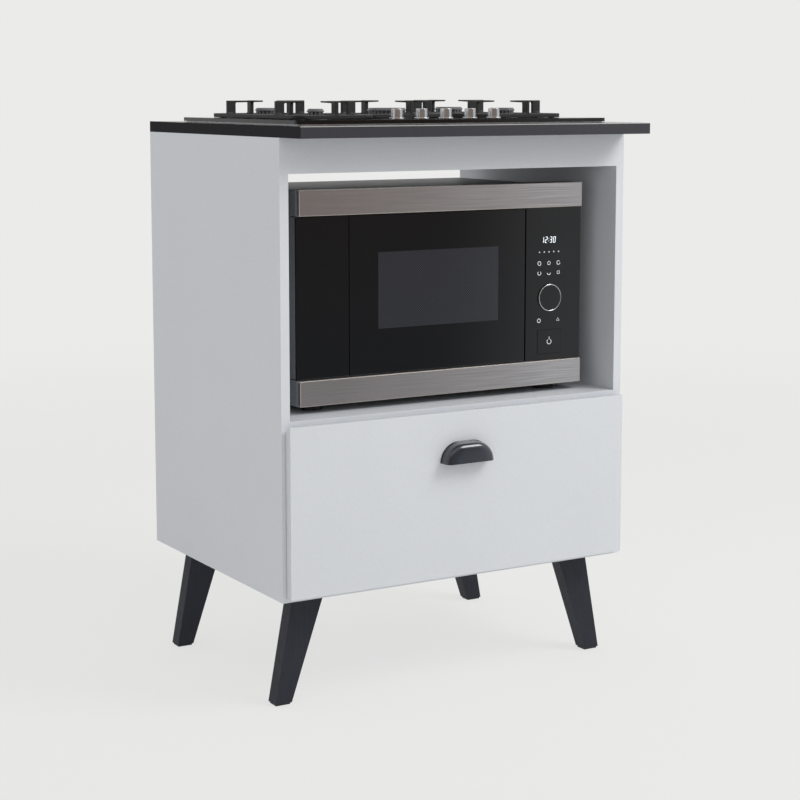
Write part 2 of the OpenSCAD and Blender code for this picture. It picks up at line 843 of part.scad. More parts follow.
module drawer_back() {
    color("whitesmoke") difference() {
        block([-drawer_inner_x, drawer_y1 - drawer_board_t, drawer_floor_z1 + groove_gap],
              [drawer_inner_x, drawer_y1, drawer_z1]);
        both_sides()
            for (z = drawer_screw_zs)
                rod([drawer_x - drawer_screw_l - dowel_end_gap, drawer_y1 - drawer_board_t / 2, z], "x",
                    screw_r + fit_gap, drawer_screw_l + dowel_end_gap);
    }
}

module drawer_bottom() {
    edge = drawer_inner_x + groove_d - groove_gap;
    color("gainsboro") block([-edge, drawer_front_y1 - groove_d + groove_gap, drawer_floor_z0],
                             [edge, drawer_y1, drawer_floor_z1]);
}

// A right-hand drawer runner: an angle on the drawer's side, with the axle of its rear roller
module drawer_runner() {
    flange_x = drawer_x + flange_t;
    block([drawer_x, drawer_front_y1 + drawer_runner_gap, roller_z - axle_head_r], [flange_x, drawer_y1, flange_z + sheet_t]);
    block([drawer_x, drawer_front_y1 + drawer_runner_gap, flange_z], [drawer_flange_x, drawer_y1, flange_z + sheet_t]);
    rod([drawer_x + flange_t / 2, rear_roller_y, roller_z], "x", axle_r,
        roller_x1 + run_gap - drawer_x - flange_t / 2);
    rod([roller_x1 + run_gap, rear_roller_y, roller_z], "x", axle_head_r, axle_head_t);
}

module drawer_runners() {
    color("white") both_sides() drawer_runner();
}

module drawer_fasteners() {
    color("silver") both_sides() {
        for (z = drawer_screw_zs)
            translate([drawer_x, drawer_y1 - drawer_board_t / 2, z])
                rotate([0, -90, 0]) wood_screw(drawer_screw_l - screw_head_h);
        for (z = drawer_cam_zs) {
            rod([drawer_inner_x, drawer_cam_y, z], "x", drawer_cam_r, drawer_cam_h);
            rod([drawer_side_mid_x, drawer_front_y1 - dowel_in_side, z], "y", cam_bolt_r,
                dowel_in_side + cam_setback - drawer_cam_r - fit_gap);
        }
        translate([handle_pitch / 2, drawer_front_y1 + screw_head_h, handle_z0 + handle_boss_rise])
            rotate([90, 0, 0]) {
                cylinder(r = screw_head_r, h = screw_head_h);
                cylinder(r = handle_thread_r - fit_gap, h = screw_head_h + handle_screw_l);
            }
    }
}

// Half of the handle's section: radius against distance from the drawer front
function cup_section(r, depth, bend) = concat(
    [[0, 0], [r, 0]],
    [for (a = [0:10:90]) [r - bend + bend * cos(a), depth - bend + bend * sin(a)]],
    [[0, depth]]
);

// A cup solid: the section turned about its two upper corners and carried straight between them
module cup_solid(r, depth, bend) {
    for (s = [-1, 1])
        translate([s * handle_arc_x, 0, 0])
            rotate([90, 0, 0])
                rotate_extrude() polygon(cup_section(r, depth, bend));
    translate([-handle_arc_x, 0, 0])
        rotate([90, 0, 90])
            linear_extrude(2 * handle_arc_x)
                polygon([for (p = cup_section(r, depth, bend)) [-p[1], p[0]]]);
}

module cup_handle() {
    body_r = handle_h - handle_flange;
    rib_out = max(0, handle_pitch / 2 + handle_wall / 2 - handle_arc_x);
    rib_top = sqrt(pow(body_r - handle_wall / 2, 2) - pow(rib_out, 2));
    color("#2e3036") translate([0, drawer_front_y0, handle_z0]) difference() {
        union() {
            difference() {
                union() {
                    cup_solid(body_r, handle_d, handle_round);
                    cup_solid(handle_h, handle_flange_t, handle_flange_t / 2);
                }
                translate([0, 1, 0])
                    cup_solid(body_r - handle_wall, handle_d - handle_wall + 1, handle_round - handle_wall);
            }
            for (s = [-1, 1])
                translate([s * handle_pitch / 2, 0, handle_boss_rise])
                    rotate([90, 0, 0]) cylinder(r = handle_boss_r, h = handle_boss_l);
            for (s = [-1, 1])
                block([s * handle_pitch / 2 - handle_wall / 2, -handle_boss_l, handle_boss_rise],
                      [s * handle_pitch / 2 + handle_wall / 2, 0, rib_top]);
        }
        block([-handle_w, -handle_d - 1, -2 * handle_h], [handle_w, 2, 0]);
        for (s = [-1, 1])
            translate([s * handle_pitch / 2, 1, handle_boss_rise])
                rotate([90, 0, 0]) cylinder(r = handle_thread_r, h = handle_boss_l - 1);
    }
}

module hob_glass() {
    color("#141416") difference() {
        translate([0, (hob_y0 + hob_y1) / 2, glass_z0])
            linear_extrude(hob_glass_t) round_rectangle(hob_w, hob_d, hob_corner_r);
        for (b = burners)
            rod([b[0], b[1], glass_z0 - 1], "z", b[2] - burner_neck_in + burner_hole_gap, hob_glass_t + 2);
        for (x = knob_xs)
            rod([x, knob_y, glass_z0 - 1], "z", spindle_hole_r, hob_glass_t + 2);
    }
}

module hob_seal() {
    color("silver") difference() {
        translate([0, (hob_y0 + hob_y1) / 2, top_z])
            linear_extrude(seal_t)
                round_rectangle(hob_w - 2 * seal_edge, hob_d - 2 * seal_edge, hob_corner_r - seal_edge / 2);
        block([-tray_x - 2 * cutout_gap, tray_y0 - 2 * cutout_gap, top_z - 1],
              [tray_x + 2 * cutout_gap, tray_y1 + 2 * cutout_gap, top_z + seal_t + 1]);
    }
}

module hob_tray() {
    color("silver") difference() {
        block([-tray_x, tray_y0, tray_z0], [tray_x, tray_y1, glass_z0]);
        block([-tray_x + tray_wall, tray_y0 + tray_wall, tray_z0 + tray_wall],
              [tray_x - tray_wall, tray_y1 - tray_wall, glass_z0 + 1]);
        rod([inlet_x, tray_y1 - tray_wall - 1, pipe_z], "y", pipe_r + run_gap, tray_wall + 2);
    }
}

module burner_cups() {
    color("dimgray")
        for (b = burners) {
            rod([b[0], b[1], cup_z0], "z", b[2] - burner_neck_in, glass_z1 - cup_z0);
            rod([b[0], b[1], glass_z1], "z", b[2] + burner_skirt, burner_skirt_t);
            rod([b[0], b[1] - b[2] - burner_skirt / 2, glass_z1 + burner_skirt_t], "z", igniter_r, igniter_h);
        }
}

// A crown with flame slots round its edge
module burner_crown(r) {
    slots = round(2 * PI * r / crown_slot_pitch);
    difference() {
        cylinder(r = r, h = crown_h);
        for (k = [0:slots - 1])
            rotate(k * 360 / slots)
                translate([r / 2, -crown_slot_w / 2, crown_h - crown_slot_h])
                    cube([r, crown_slot_w, crown_slot_h + 1]);
    }
}

module burner_crowns() {
    color("silver")
        for (b = burners)
            translate([b[0], b[1], glass_z1 + burner_skirt_t]) burner_crown(b[2] - crown_in);
}

module burner_caps() {
    color("gray")
        for (b = burners)
            translate([b[0], b[1], glass_z1 + burner_skirt_t + crown_h])
                rotate_extrude()
                    polygon([[0, 0], [b[2], 0], [b[2], cap_h / 3], [b[2] - cap_h / 2, cap_h], [0, cap_h]]);
}

// A post with a finger that points along an angle, standing on a grate's frame at a point
module grate_post_finger(point, angle, length) {
    translate([point[0], point[1], 0]) rotate(angle) {
        block([-grate_post / 2, -finger_w / 2, bar_z0], [grate_post / 2, finger_w / 2, grate_z1]);
        translate([0, finger_w / 2, 0])
            rotate([90, 0, 0])
                linear_extrude(finger_w)
                    polygon([
                        [0, grate_z1 - finger_root_h],
                        [length, grate_z1 - finger_tip_h],
                        [length, grate_z1],
                        [0, grate_z1]
                    ]);
    }
}

// A low frame with round corners, and a cast nub under each end of its front and back bars
module grate_frame(x0, y0, x1, y1) {
    translate([(x0 + x1) / 2, (y0 + y1) / 2, bar_z0])
        linear_extrude(grate_bar_h) difference() {
            round_rectangle(x1 - x0, y1 - y0, grate_corner_r);
            round_rectangle(x1 - x0 - 2 * grate_bar_w, y1 - y0 - 2 * grate_bar_w, grate_corner_r - grate_bar_w);
        }
    for (x = [x0 + grate_corner_r, x1 - grate_corner_r - grate_bar_w], y = [y0, y1 - grate_bar_w])
        block([x, y, glass_z1], [x + grate_bar_w, y + grate_bar_w, bar_z0]);
}

// A side grate with four fingers over each of its two burners
module side_grate(x) {
    x0 = x - side_grate_w / 2;
    x1 = x + side_grate_w / 2;
    grate_frame(x0, side_grate_y0, x1, side_grate_y1);
    block([x0, side_grate_mid_y - grate_bar_w / 2, bar_z0], [x1, side_grate_mid_y + grate_bar_w / 2, bar_z1]);
    grate_post_finger([x, side_grate_y0 + grate_post / 2], 90, finger_l);
    grate_post_finger([x, side_grate_y1 - grate_post / 2], -90, finger_l);
    grate_post_finger([x, side_grate_mid_y], 90, finger_l);
    grate_post_finger([x, side_grate_mid_y], -90, finger_l);
    for (y = [burner_front_y, burner_back_y]) {
        grate_post_finger([x0 + grate_post / 2, y], 0, finger_l);
        grate_post_finger([x1 - grate_post / 2, y], 180, finger_l);
    }
}

module grate_left() {
    color("#26262a") side_grate(-burner_dx);
}

module grate_right() {
    color("#26262a") side_grate(burner_dx);
}

module grate_centre() {
    b = burners[2];
    half_x = centre_grate_w / 2;
    half_y = centre_grate_d / 2;
    color("#26262a") {
        grate_frame(b[0] - half_x, b[1] - half_y, b[0] + half_x, b[1] + half_y);
        for (s = [-1, 1]) {
            grate_post_finger([b[0] + s * (half_x - grate_post / 2), b[1]], s > 0 ? 180 : 0, finger_l);
            grate_post_finger([b[0], b[1] + s * (half_y - grate_post / 2)], s > 0 ? -90 : 90, finger_l);
        }
    }
}

// A drum-shaped pipe joint around a point
module elbow(point, r) {
    translate(point - [0, 0, r]) cylinder(r = r, h = 2 * r);
}

// A feed pipe from a valve's back to the underside of a burner's cup
module feed_pipe(x, b) {
    start = [x, knob_y + valve_d / 2, feed_z];
    bend = start + [0, feed_stub, 0];
    end = [b[0], b[1], feed_z];
    rod(start, "y", feed_r, feed_stub);
    elbow(bend, elbow_r);
    level_pipe(bend, end, feed_r);
    elbow(end, elbow_r);
    rod(end, "z", feed_r, cup_z0 - feed_z);
}

module gas_manifold() {
    color("goldenrod") {
        rod([inlet_x, knob_y, pipe_z], "x", pipe_r, manifold_x - inlet_x);
        for (x = [inlet_x, manifold_x])
            elbow([x, knob_y, pipe_z], pipe_r + 1);
        for (x = knob_xs)
            rod([x, knob_y, pipe_z], "z", pipe_r - 1, valve_z0 - pipe_z);
        for (x = [inlet_x / 2, manifold_x - manifold_reach / 2])
            rod([x, knob_y, tray_z0 + tray_wall], "z", pipe_r - 1, pipe_z - tray_z0 - tray_wall);
        rod([inlet_x, knob_y, pipe_z], "y", pipe_r, tray_y1 - knob_y + inlet_collar_t);
        rod([inlet_x, tray_y1, pipe_z], "y", inlet_collar_r, inlet_collar_t);
        rod([inlet_x, tray_y1 + inlet_collar_t, pipe_z], "y", inlet_r, inlet_l);
        for (k = [0:4])
            feed_pipe(knob_xs[k], burners[k]);
    }
}

module gas_valves() {
    color("darkgoldenrod")
        for (x = knob_xs) {
            block([x - valve_w / 2, knob_y - valve_d / 2, valve_z0], [x + valve_w / 2, knob_y + valve_d / 2, valve_z1]);
            rod([x, knob_y, valve_z1], "z", spindle_r, glass_z1 + spindle_up - valve_z1);
        }
}

module hob_clamps() {
    color("gray") both_sides()
        for (y = clamp_ys) {
            block([tray_x, y - clamp_w / 2, carcass_z1 - clamp_h], [tray_x + clamp_t, y + clamp_w / 2, carcass_z1]);
            block([tray_x, y - clamp_w / 2, carcass_z1 - clamp_t],
                  [tray_x + clamp_reach, y + clamp_w / 2, carcass_z1]);
        }
}

// A knob with a skirt, a slightly tapered body, a pointer on its top and a blind bore
module hob_knob(x) {
    z0 = glass_z1 + knob_lift;
    color("silver") translate([x, knob_y, z0]) difference() {
        union() {
            cylinder(r = knob_r, h = knob_skirt_h);
            cylinder(r1 = knob_body_r, r2 = knob_top_r, h = knob_h);
            block([-knob_mark_w / 2, 1, knob_h - 1], [knob_mark_w / 2, knob_top_r - 1, knob_h + knob_mark_h]);
        }
        translate([0, 0, -1]) cylinder(r = spindle_r + run_gap, h = spindle_up + 1.5);
    }
}

module hob_knob_1() {
    hob_knob(knob_xs[0]);
}

module hob_knob_2() {
    hob_knob(knob_xs[1]);
}

module hob_knob_3() {
    hob_knob(knob_xs[2]);
}

module hob_knob_4() {
    hob_knob(knob_xs[3]);
}

module hob_knob_5() {
    hob_knob(knob_xs[4]);
}

module oven_casing() {
    x0 = oven_x0 + casing_in;
    x1 = oven_x1 - casing_in;
    z1 = oven_z1 - casing_drop;
    color("darkgray") {
        difference() {
            block([x0, cavity_y0, oven_z0], [x1, oven_y1, z1]);
            block([x0 + casing_wall, cavity_y0 - 1, oven_z0 - 1], [x1 - casing_wall, oven_y1 - casing_wall, z1 - casing_wall]);
        }
        rod([oven_x1 - gland_rise, oven_y1 - casing_wall / 2, oven_z0 + gland_rise], "y", gland_r, gland_l);
    }
}

module oven_base() {
    color("darkgray") block([oven_x0 + casing_in + casing_wall, cavity_y0, oven_z0],
                            [oven_x1 - casing_in - casing_wall, oven_y1 - casing_wall, oven_z0 + base_t]);
}

module oven_cavity() {
    color("lightgray") difference() {
        union() {
            block([oven_x0 + casing_in + casing_wall, cavity_y0, oven_z0 + trim_h - flange_lap],
                  [control_x0 + frame_wall + flange_lap, cavity_y0 + cavity_wall, oven_z1 - trim_h + flange_lap]);
            block([cavity_x0 - cavity_wall, cavity_y0, cavity_z0 - cavity_wall],
                  [cavity_x1 + cavity_wall, cavity_y1, cavity_z0 + cavity_h + cavity_wall]);
        }
        block([cavity_x0, cavity_y0 - 1, cavity_z0], [cavity_x1, cavity_y1 - cavity_wall, cavity_z0 + cavity_h]);
        rod([turntable_x, turntable_y, cavity_z0 - cavity_wall - 1], "z", coupler_stem_r + run_gap, cavity_wall + 2);
    }
}

module oven_front_frame() {
    color("#202022") difference() {
        block([oven_x0, pane_y, oven_z0], [oven_x1, cavity_y0, oven_z1]);
        block([oven_x0 - 1, pane_y - 1, oven_z0 + trim_h], [control_x0, cavity_y0 + 1, oven_z1 - trim_h]);
        block([control_x0 - 1, pane_y - 1, oven_z0 + trim_h], [oven_x1 + 1, pane_y + pane_t, oven_z1 - trim_h]);
        block([control_x0 + frame_wall, pane_y + pane_t + frame_wall, oven_z0 + trim_h],
              [oven_x1 - frame_wall, cavity_y0 + 1, oven_z1 - trim_h]);
        rod([control_x, pane_y, dial_z], "y", dial_shaft_r + run_gap, pane_t + frame_wall + 1);
        block([control_x - stem_w / 2 - run_gap, pane_y, button_z - stem_w / 2 - run_gap],
              [control_x + stem_w / 2 + run_gap, pane_y + pane_t + frame_wall + 1, button_z + stem_w / 2 + run_gap]);
        for (z = [door_z0 - door_clear - hinge_pin_l - 1, door_z1 + door_clear - 1])
            rod([hinge_x, hinge_y, z], "z", hinge_pin_r + run_gap, hinge_pin_l + 2);
    }
}

module oven_control_panel() {
    color("#161618") difference() {
        block([control_x0, pane_y, oven_z0 + trim_h], [oven_x1, pane_y + pane_t, oven_z1 - trim_h]);
        rod([control_x, pane_y - 1, dial_z], "y", dial_r + run_gap, pane_t + 2);
        block([control_x - button_w / 2 - run_gap, pane_y - 1, button_z - button_h / 2 - run_gap],
              [control_x + button_w / 2 + run_gap, pane_y + pane_t + 1, button_z + button_h / 2 + run_gap]);
    }
}

module oven_trims() {
    color("silver")
        for (z = [oven_z0, oven_z1 - trim_h])
            block([oven_x0 + trim_inset, oven_y0, z], [oven_x1 - trim_inset, pane_y, z + trim_h]);
}

module oven_feet() {
    color("#1c1c1c")
        for (x = [oven_x0 + oven_foot_inset_x, oven_x1 - oven_foot_inset_x],
             y = [oven_y0 + oven_foot_inset_y, oven_y1 - oven_foot_inset_y])
            rod([x, y, shelf_z1], "z", oven_foot_r, oven_foot_h);
}

module oven_door_frame() {
    color("#202022") {
        difference() {
            block([door_frame_x0, pane_y + pane_t, door_z0], [door_x1, door_back_y, door_z1]);
            block([window_x - window_w / 2, pane_y, window_z - window_h / 2],
                  [window_x + window_w / 2, door_back_y + 1, window_z + window_h / 2]);
            block([window_x - window_w / 2 - inner_pane_lap, door_back_y - inner_pane_t,
                   window_z - window_h / 2 - inner_pane_lap],
                  [window_x + window_w / 2 + inner_pane_lap, door_back_y + 1,
                   window_z + window_h / 2 + inner_pane_lap]);
        }
        for (z = [door_z0 - door_clear - hinge_pin_l, door_z1 - 1])
            rod([hinge_x, hinge_y, z], "z", hinge_pin_r, hinge_pin_l + door_clear + 1);
    }
}

module oven_door_panes() {
    joint_x = oven_x0 + hinge_pane_w;
    color("#161618") {
        block([oven_x0, pane_y, door_z0], [joint_x - pane_joint / 2, pane_y + pane_t, door_z1]);
        block([joint_x + pane_joint / 2, pane_y, door_z0], [door_x1, pane_y + pane_t, door_z1]);
        block([window_x - window_w / 2 - inner_pane_lap, door_back_y - inner_pane_t,
               window_z - window_h / 2 - inner_pane_lap],
              [window_x + window_w / 2 + inner_pane_lap, door_back_y, window_z + window_h / 2 + inner_pane_lap]);
    }
}

module oven_dial() {
    wall_back = pane_t + frame_wall;
    color("#1c1c1e") translate([control_x, pane_y, dial_z]) {
        rod([0, -dial_proud, 0], "y", dial_r, dial_proud + pane_t - run_gap);
        rod([0, 0, 0], "y", dial_shaft_r, wall_back + run_gap + clip_t);
        rod([0, wall_back + run_gap, 0], "y", dial_clip_r, clip_t);
    }
}

module oven_button() {
    wall_back = pane_t + frame_wall;
    back = pane_t - button_travel - button_back_gap;
    color("#1c1c1e") translate([control_x, pane_y, button_z]) {
        block([-button_w / 2, -button_proud, -button_h / 2], [button_w / 2, back, button_h / 2]);
        block([-stem_w / 2, 0, -stem_w / 2], [stem_w / 2, wall_back + run_gap + clip_t, stem_w / 2]);
        block([-stem_clip / 2, wall_back + run_gap, -stem_clip / 2],
              [stem_clip / 2, wall_back + run_gap + clip_t, stem_clip / 2]);
    }
}

module oven_turntable() {
    motor_z1 = cavity_z0 - cavity_wall;
    color("lightcyan") translate([turntable_x, turntable_y, 0]) {
        translate([0, 0, plate_z])
            rotate_extrude()
                polygon([
                    [0, 0],
                    [turntable_r - plate_rim, 0],
                    [turntable_r, plate_rim],
                    [turntable_r, plate_t + plate_rim],
                    [turntable_r - plate_rim, plate_t],
                    [0, plate_t]
                ]);
        rod([0, 0, cavity_z0 + run_gap], "z", coupler_r, plate_z - cavity_z0 - run_gap);
        rod([0, 0, motor_z1 + run_gap], "z", coupler_stem_r, cavity_wall + 1);
    }
}

module oven_roller_ring() {
    color("ivory") translate([turntable_x, turntable_y, ring_axis_z]) {
        translate([0, 0, -ring_t / 2]) difference() {
            cylinder(r = ring_r + ring_w / 2, h = ring_t);
            translate([0, 0, -1]) cylinder(r = ring_r - ring_w / 2, h = ring_t + 2);
        }
        for (k = [0:2])
            rotate(k * 120)
                rod([ring_r - ring_roller_w / 2, 0, 0], "x", ring_roller_r, ring_roller_w);
    }
}

module oven_turntable_motor() {
    color("silver") rod([turntable_x, turntable_y, cavity_z0 - cavity_wall - motor_h], "z", motor_r, motor_h);
}

module oven_power_pack() {
    wall_x = cavity_x1 + cavity_wall;
    color("slategray") {
        translate([wall_x + transformer_gap, turntable_y + transformer_back, oven_z0 + base_t]) cube(transformer);
        translate([wall_x, turntable_y - magnetron_front, cavity_z0 + cavity_h - magnetron[2] - magnetron_drop])
            cube(magnetron);
    }
}

worktop();
left_side_panel();
right_side_panel();
bottom_panel();
niche_shelf();
front_top_rail();
rear_top_rail();
back_panel();
carcass_dowels();
cam_fittings();
worktop_brackets();
leg_front_left();
leg_front_right();
leg_back_left();
leg_back_right();
leg_fixings();
foot_glides();
runner_rails();
panel_screws();
cabinet_rollers();
drawer_front();
drawer_sides();
drawer_back();
drawer_bottom();
drawer_runners();
drawer_rollers();
cup_handle();
drawer_fasteners();
hob_glass();
hob_seal();
hob_tray();
burner_cups();
burner_crowns();
burner_caps();
grate_left();
grate_centre();
grate_right();
gas_manifold();
gas_valves();
hob_clamps();
hob_knob_1();
hob_knob_2();
hob_knob_3();
hob_knob_4();
hob_knob_5();
oven_casing();
oven_base();
oven_cavity();
oven_front_frame();
oven_control_panel();
oven_trims();
oven_feet();
oven_door_frame();
oven_door_panes();
oven_dial();
oven_button();
oven_turntable();
oven_roller_ring();
oven_turntable_motor();
oven_power_pack();
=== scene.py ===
"""Dresses the oven base cabinet: a finish for every solid, and the fine pieces that the solids leave plain.

The solids are the fixed frame. Lengths are in metres, except in names that end in _mm.
"""

import json
import logging
import math
from dataclasses import dataclass, field, replace
from enum import Enum

import bmesh
import bpy
import numpy as np
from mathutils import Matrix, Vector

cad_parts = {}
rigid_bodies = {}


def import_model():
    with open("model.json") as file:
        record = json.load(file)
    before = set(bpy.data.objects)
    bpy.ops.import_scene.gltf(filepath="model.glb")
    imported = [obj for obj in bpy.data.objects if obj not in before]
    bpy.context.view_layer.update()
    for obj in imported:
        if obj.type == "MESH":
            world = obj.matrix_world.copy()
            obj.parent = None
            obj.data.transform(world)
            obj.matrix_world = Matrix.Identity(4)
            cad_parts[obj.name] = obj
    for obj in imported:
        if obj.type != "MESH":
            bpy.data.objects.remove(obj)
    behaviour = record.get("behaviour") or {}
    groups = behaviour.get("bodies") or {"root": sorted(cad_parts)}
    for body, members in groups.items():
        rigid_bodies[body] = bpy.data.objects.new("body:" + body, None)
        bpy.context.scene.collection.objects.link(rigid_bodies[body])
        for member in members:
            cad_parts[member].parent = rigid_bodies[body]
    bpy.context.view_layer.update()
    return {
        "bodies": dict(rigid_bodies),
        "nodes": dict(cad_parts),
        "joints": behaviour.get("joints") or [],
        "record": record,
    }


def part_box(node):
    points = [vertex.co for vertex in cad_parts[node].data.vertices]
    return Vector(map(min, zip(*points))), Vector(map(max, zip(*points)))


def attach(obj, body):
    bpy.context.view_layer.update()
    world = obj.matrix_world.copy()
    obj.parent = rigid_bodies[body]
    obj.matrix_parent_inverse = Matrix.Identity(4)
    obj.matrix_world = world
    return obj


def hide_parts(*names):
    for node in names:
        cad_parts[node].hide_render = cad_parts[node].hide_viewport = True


LOG = logging.getLogger("oven_base_cabinet")
MM = 0.001

Points = np.ndarray
Pair = tuple[float, float]
Triple = tuple[float, float, float]
Socket = bpy.types.NodeSocket
Tree = bpy.types.NodeTree

# The values of a noise between which colour and gloss go from one end to the other.
TONE_SPREAD = (0.33, 0.67)
GLOSS_SPREAD = (0.3, 0.7)
# The octaves of a grain's noise and of a broad mottle's.
GRAIN_DETAIL = 3.0
MOTTLE_DETAIL = 2.0
# Points that lie closer than this are one: in a new piece, and in a solid whose edges are broken.
MERGE_WITHIN = 1e-7
WELD_WITHIN = 1e-6
# A broken edge: its facets, the least angle that is broken, and the bend up to which shading is smooth.
EDGE_FACETS = 3
EDGE_FROM_DEG = 50
SMOOTH_TO_DEG = 12


class Spin(Enum):
    """The axis that a turned piece is round."""

    UPRIGHT = "z"
    FRONT_TO_BACK = "y"


def linear(hex_colour: str) -> tuple[float, float, float, float]:
    """Turns an sRGB hex colour to linear light, by the standard's own formula.

    Args:
        hex_colour: six hex digits after a hash sign.

    Returns:
        Red, green, blue and an alpha of 1.
    """
    srgb = np.array([int(hex_colour[k:k + 2], 16) for k in (1, 3, 5)]) / 255
    light = np.where(srgb <= 0.04045, srgb / 12.92, ((srgb + 0.055) / 1.055) ** 2.4)
    return (*light.tolist(), 1.0)


def add_node(
    tree: Tree, kind: str, inputs: dict | None = None, out: int | str = 0, **settings: object
) -> Socket | None:
    """Adds a shader node with its settings, values and links.

    Args:
        tree: the material's or world's node tree.
        kind: the node's type, without the prefix that all shader nodes share.
        inputs: input name or number to a value, or to the output socket that feeds it.
        out: the number or name of the output that is wanted.
        settings: the node's own properties.

    Returns:
        That output, or None where the node has no outputs.
    """
    node = tree.nodes.new(f"ShaderNode{kind}")
    for key, value in settings.items():
        setattr(node, key, value)
    for key, value in (inputs or {}).items():
        if isinstance(value, Socket):
            tree.links.new(value, node.inputs[key])
        else:
            node.inputs[key].default_value = value
    return node.outputs[out] if node.outputs else None


@dataclass(frozen=True)
class Finish:
    """A surface with a grain: a fine noise, stretched along the way it was made, over a broad mottle."""

    name: str
    base: str
    varied: str
    grain_mm: Triple
    roughness: Pair
    bump_mm: float
    mottle_mm: float = 140.0
    mottle_share: float = 0.35
    metallic: float = 0.0
    specular: float = 0.5
    coat: float = 0.0
    transmission: float = 0.0

    def tone(self, tree: Tree, place: Socket) -> tuple[Socket, Socket]:
        """Mixes the two colours by grain and mottle.

        Args:
            tree: the material's node tree.
            place: Object coordinates.

        Returns:
            The colour socket and the grain socket.
        """
        scale = [1 / (g * MM) for g in self.grain_mm]
        stretched = add_node(tree, "Mapping", {"Vector": place, "Scale": scale})
        grain = add_node(tree, "TexNoise", {"Vector": stretched, "Scale": 1.0, "Detail": GRAIN_DETAIL})
        broad = {"Vector": place, "Scale": 1 / (self.mottle_mm * MM), "Detail": MOTTLE_DETAIL}
        mottle = add_node(tree, "TexNoise", broad)
        share = add_node(tree, "Mix", {0: self.mottle_share, 2: grain, 3: mottle}, data_type="FLOAT")
        low, high = TONE_SPREAD
        spread = add_node(tree, "MapRange", {"Value": share, "From Min": low, "From Max": high})
        colours = {0: spread, 6: linear(self.base), 7: linear(self.varied)}
        return add_node(tree, "Mix", colours, 2, data_type="RGBA"), grain

    def shader(self, tree: Tree, colour: Socket, grain: Socket) -> bpy.types.Node:
        """Makes the surface shader from its colour and grain.

        Args:
            tree: the material's node tree.
            colour: the colour socket.
            grain: the grain socket, which drives roughness and relief.

        Returns:
            The shader node.
        """
        low, high = GLOSS_SPREAD
        smooth, rough = self.roughness
        gloss = {"Value": grain, "From Min": low, "From Max": high, "To Min": smooth, "To Max": rough}
        relief = {"Height": grain, "Strength": 1.0, "Distance": self.bump_mm * MM}
        surface = {
            "Base Color": colour,
            "Roughness": add_node(tree, "MapRange", gloss),
            "Normal": add_node(tree, "Bump", relief),
            "Metallic": self.metallic,
            "Specular IOR Level": self.specular,
            "Coat Weight": self.coat,
            "Transmission Weight": self.transmission,
        }
        return add_node(tree, "BsdfPrincipled", surface).node

    def material(self) -> bpy.types.Material:
        """Makes the material, once for each name.

        Returns:
            The material.
        """
        made = bpy.data.materials.get(self.name)
        if made is not None:
            return made
        made = bpy.data.materials.new(self.name)
        made.use_nodes = True
        tree = made.node_tree
        tree.nodes.clear()
        colour, grain = self.tone(tree, add_node(tree, "TexCoord", out="Object"))
        surface = self.shader(tree, colour, grain).outputs[0]
        add_node(tree, "OutputMaterial", {"Surface": surface})
        return made


@dataclass(frozen=True)
class WindowGlass(Finish):
    """Glass printed black on its back, with a see-through oblong that shows the punched screen behind it."""

    centre: Pair = (0.0, 0.0)
    half: Pair = (0.1, 0.1)
    soft_mm: float = 0.3
    screen: str = "#36383e"
    hole: str = "#1c1d22"
    pitch_mm: float = 4.2
    hole_range: Pair = (-0.2, 0.6)

    def tone(self, tree: Tree, place: Socket) -> tuple[Socket, Socket]:
        """Lays the screen's holes, drawn coarse enough to show, into the window.

        The holes lie where the product of a sine wave across and one upwards is high. The window is where
        the distance from its middle is under its half both ways, with soft ends.

        Args:
            tree: the material's node tree.
            place: Object coordinates.

        Returns:
            The colour socket and the grain socket.
        """
        border, grain = super().tone(tree, place)
        split = add_node(tree, "SeparateXYZ", {0: place}).node.outputs
        turn = 2 * math.pi / (self.pitch_mm * MM)
        soft = self.soft_mm * MM
        waves, masks = [], []
        for axis, centre, half in zip(("X", "Z"), self.centre, self.half):
            angle = add_node(tree, "Math", {0: split[axis], 1: turn}, operation="MULTIPLY")
            waves.append(add_node(tree, "Math", {0: angle}, operation="SINE"))
            away = add_node(tree, "Math", {0: split[axis], 1: centre}, operation="SUBTRACT")
            away = add_node(tree, "Math", {0: away}, operation="ABSOLUTE")
            ends = {"Value": away, "From Min": half - soft, "From Max": half + soft}
            masks.append(add_node(tree, "MapRange", ends | {"To Min": 1.0, "To Max": 0.0}))
        holes, mask = (
            add_node(tree, "Math", {0: across, 1: upright}, operation="MULTIPLY")
            for across, upright in (waves, masks)
        )
        low, high = self.hole_range
        holes = add_node(tree, "MapRange", {"Value": holes, "From Min": low, "From Max": high})
        colours = {0: holes, 6: linear(self.screen), 7: linear(self.hole)}
        screen = add_node(tree, "Mix", colours, 2, data_type="RGBA")
        return add_node(tree, "Mix", {0: mask, 6: border, 7: screen}, 2, data_type="RGBA"), grain


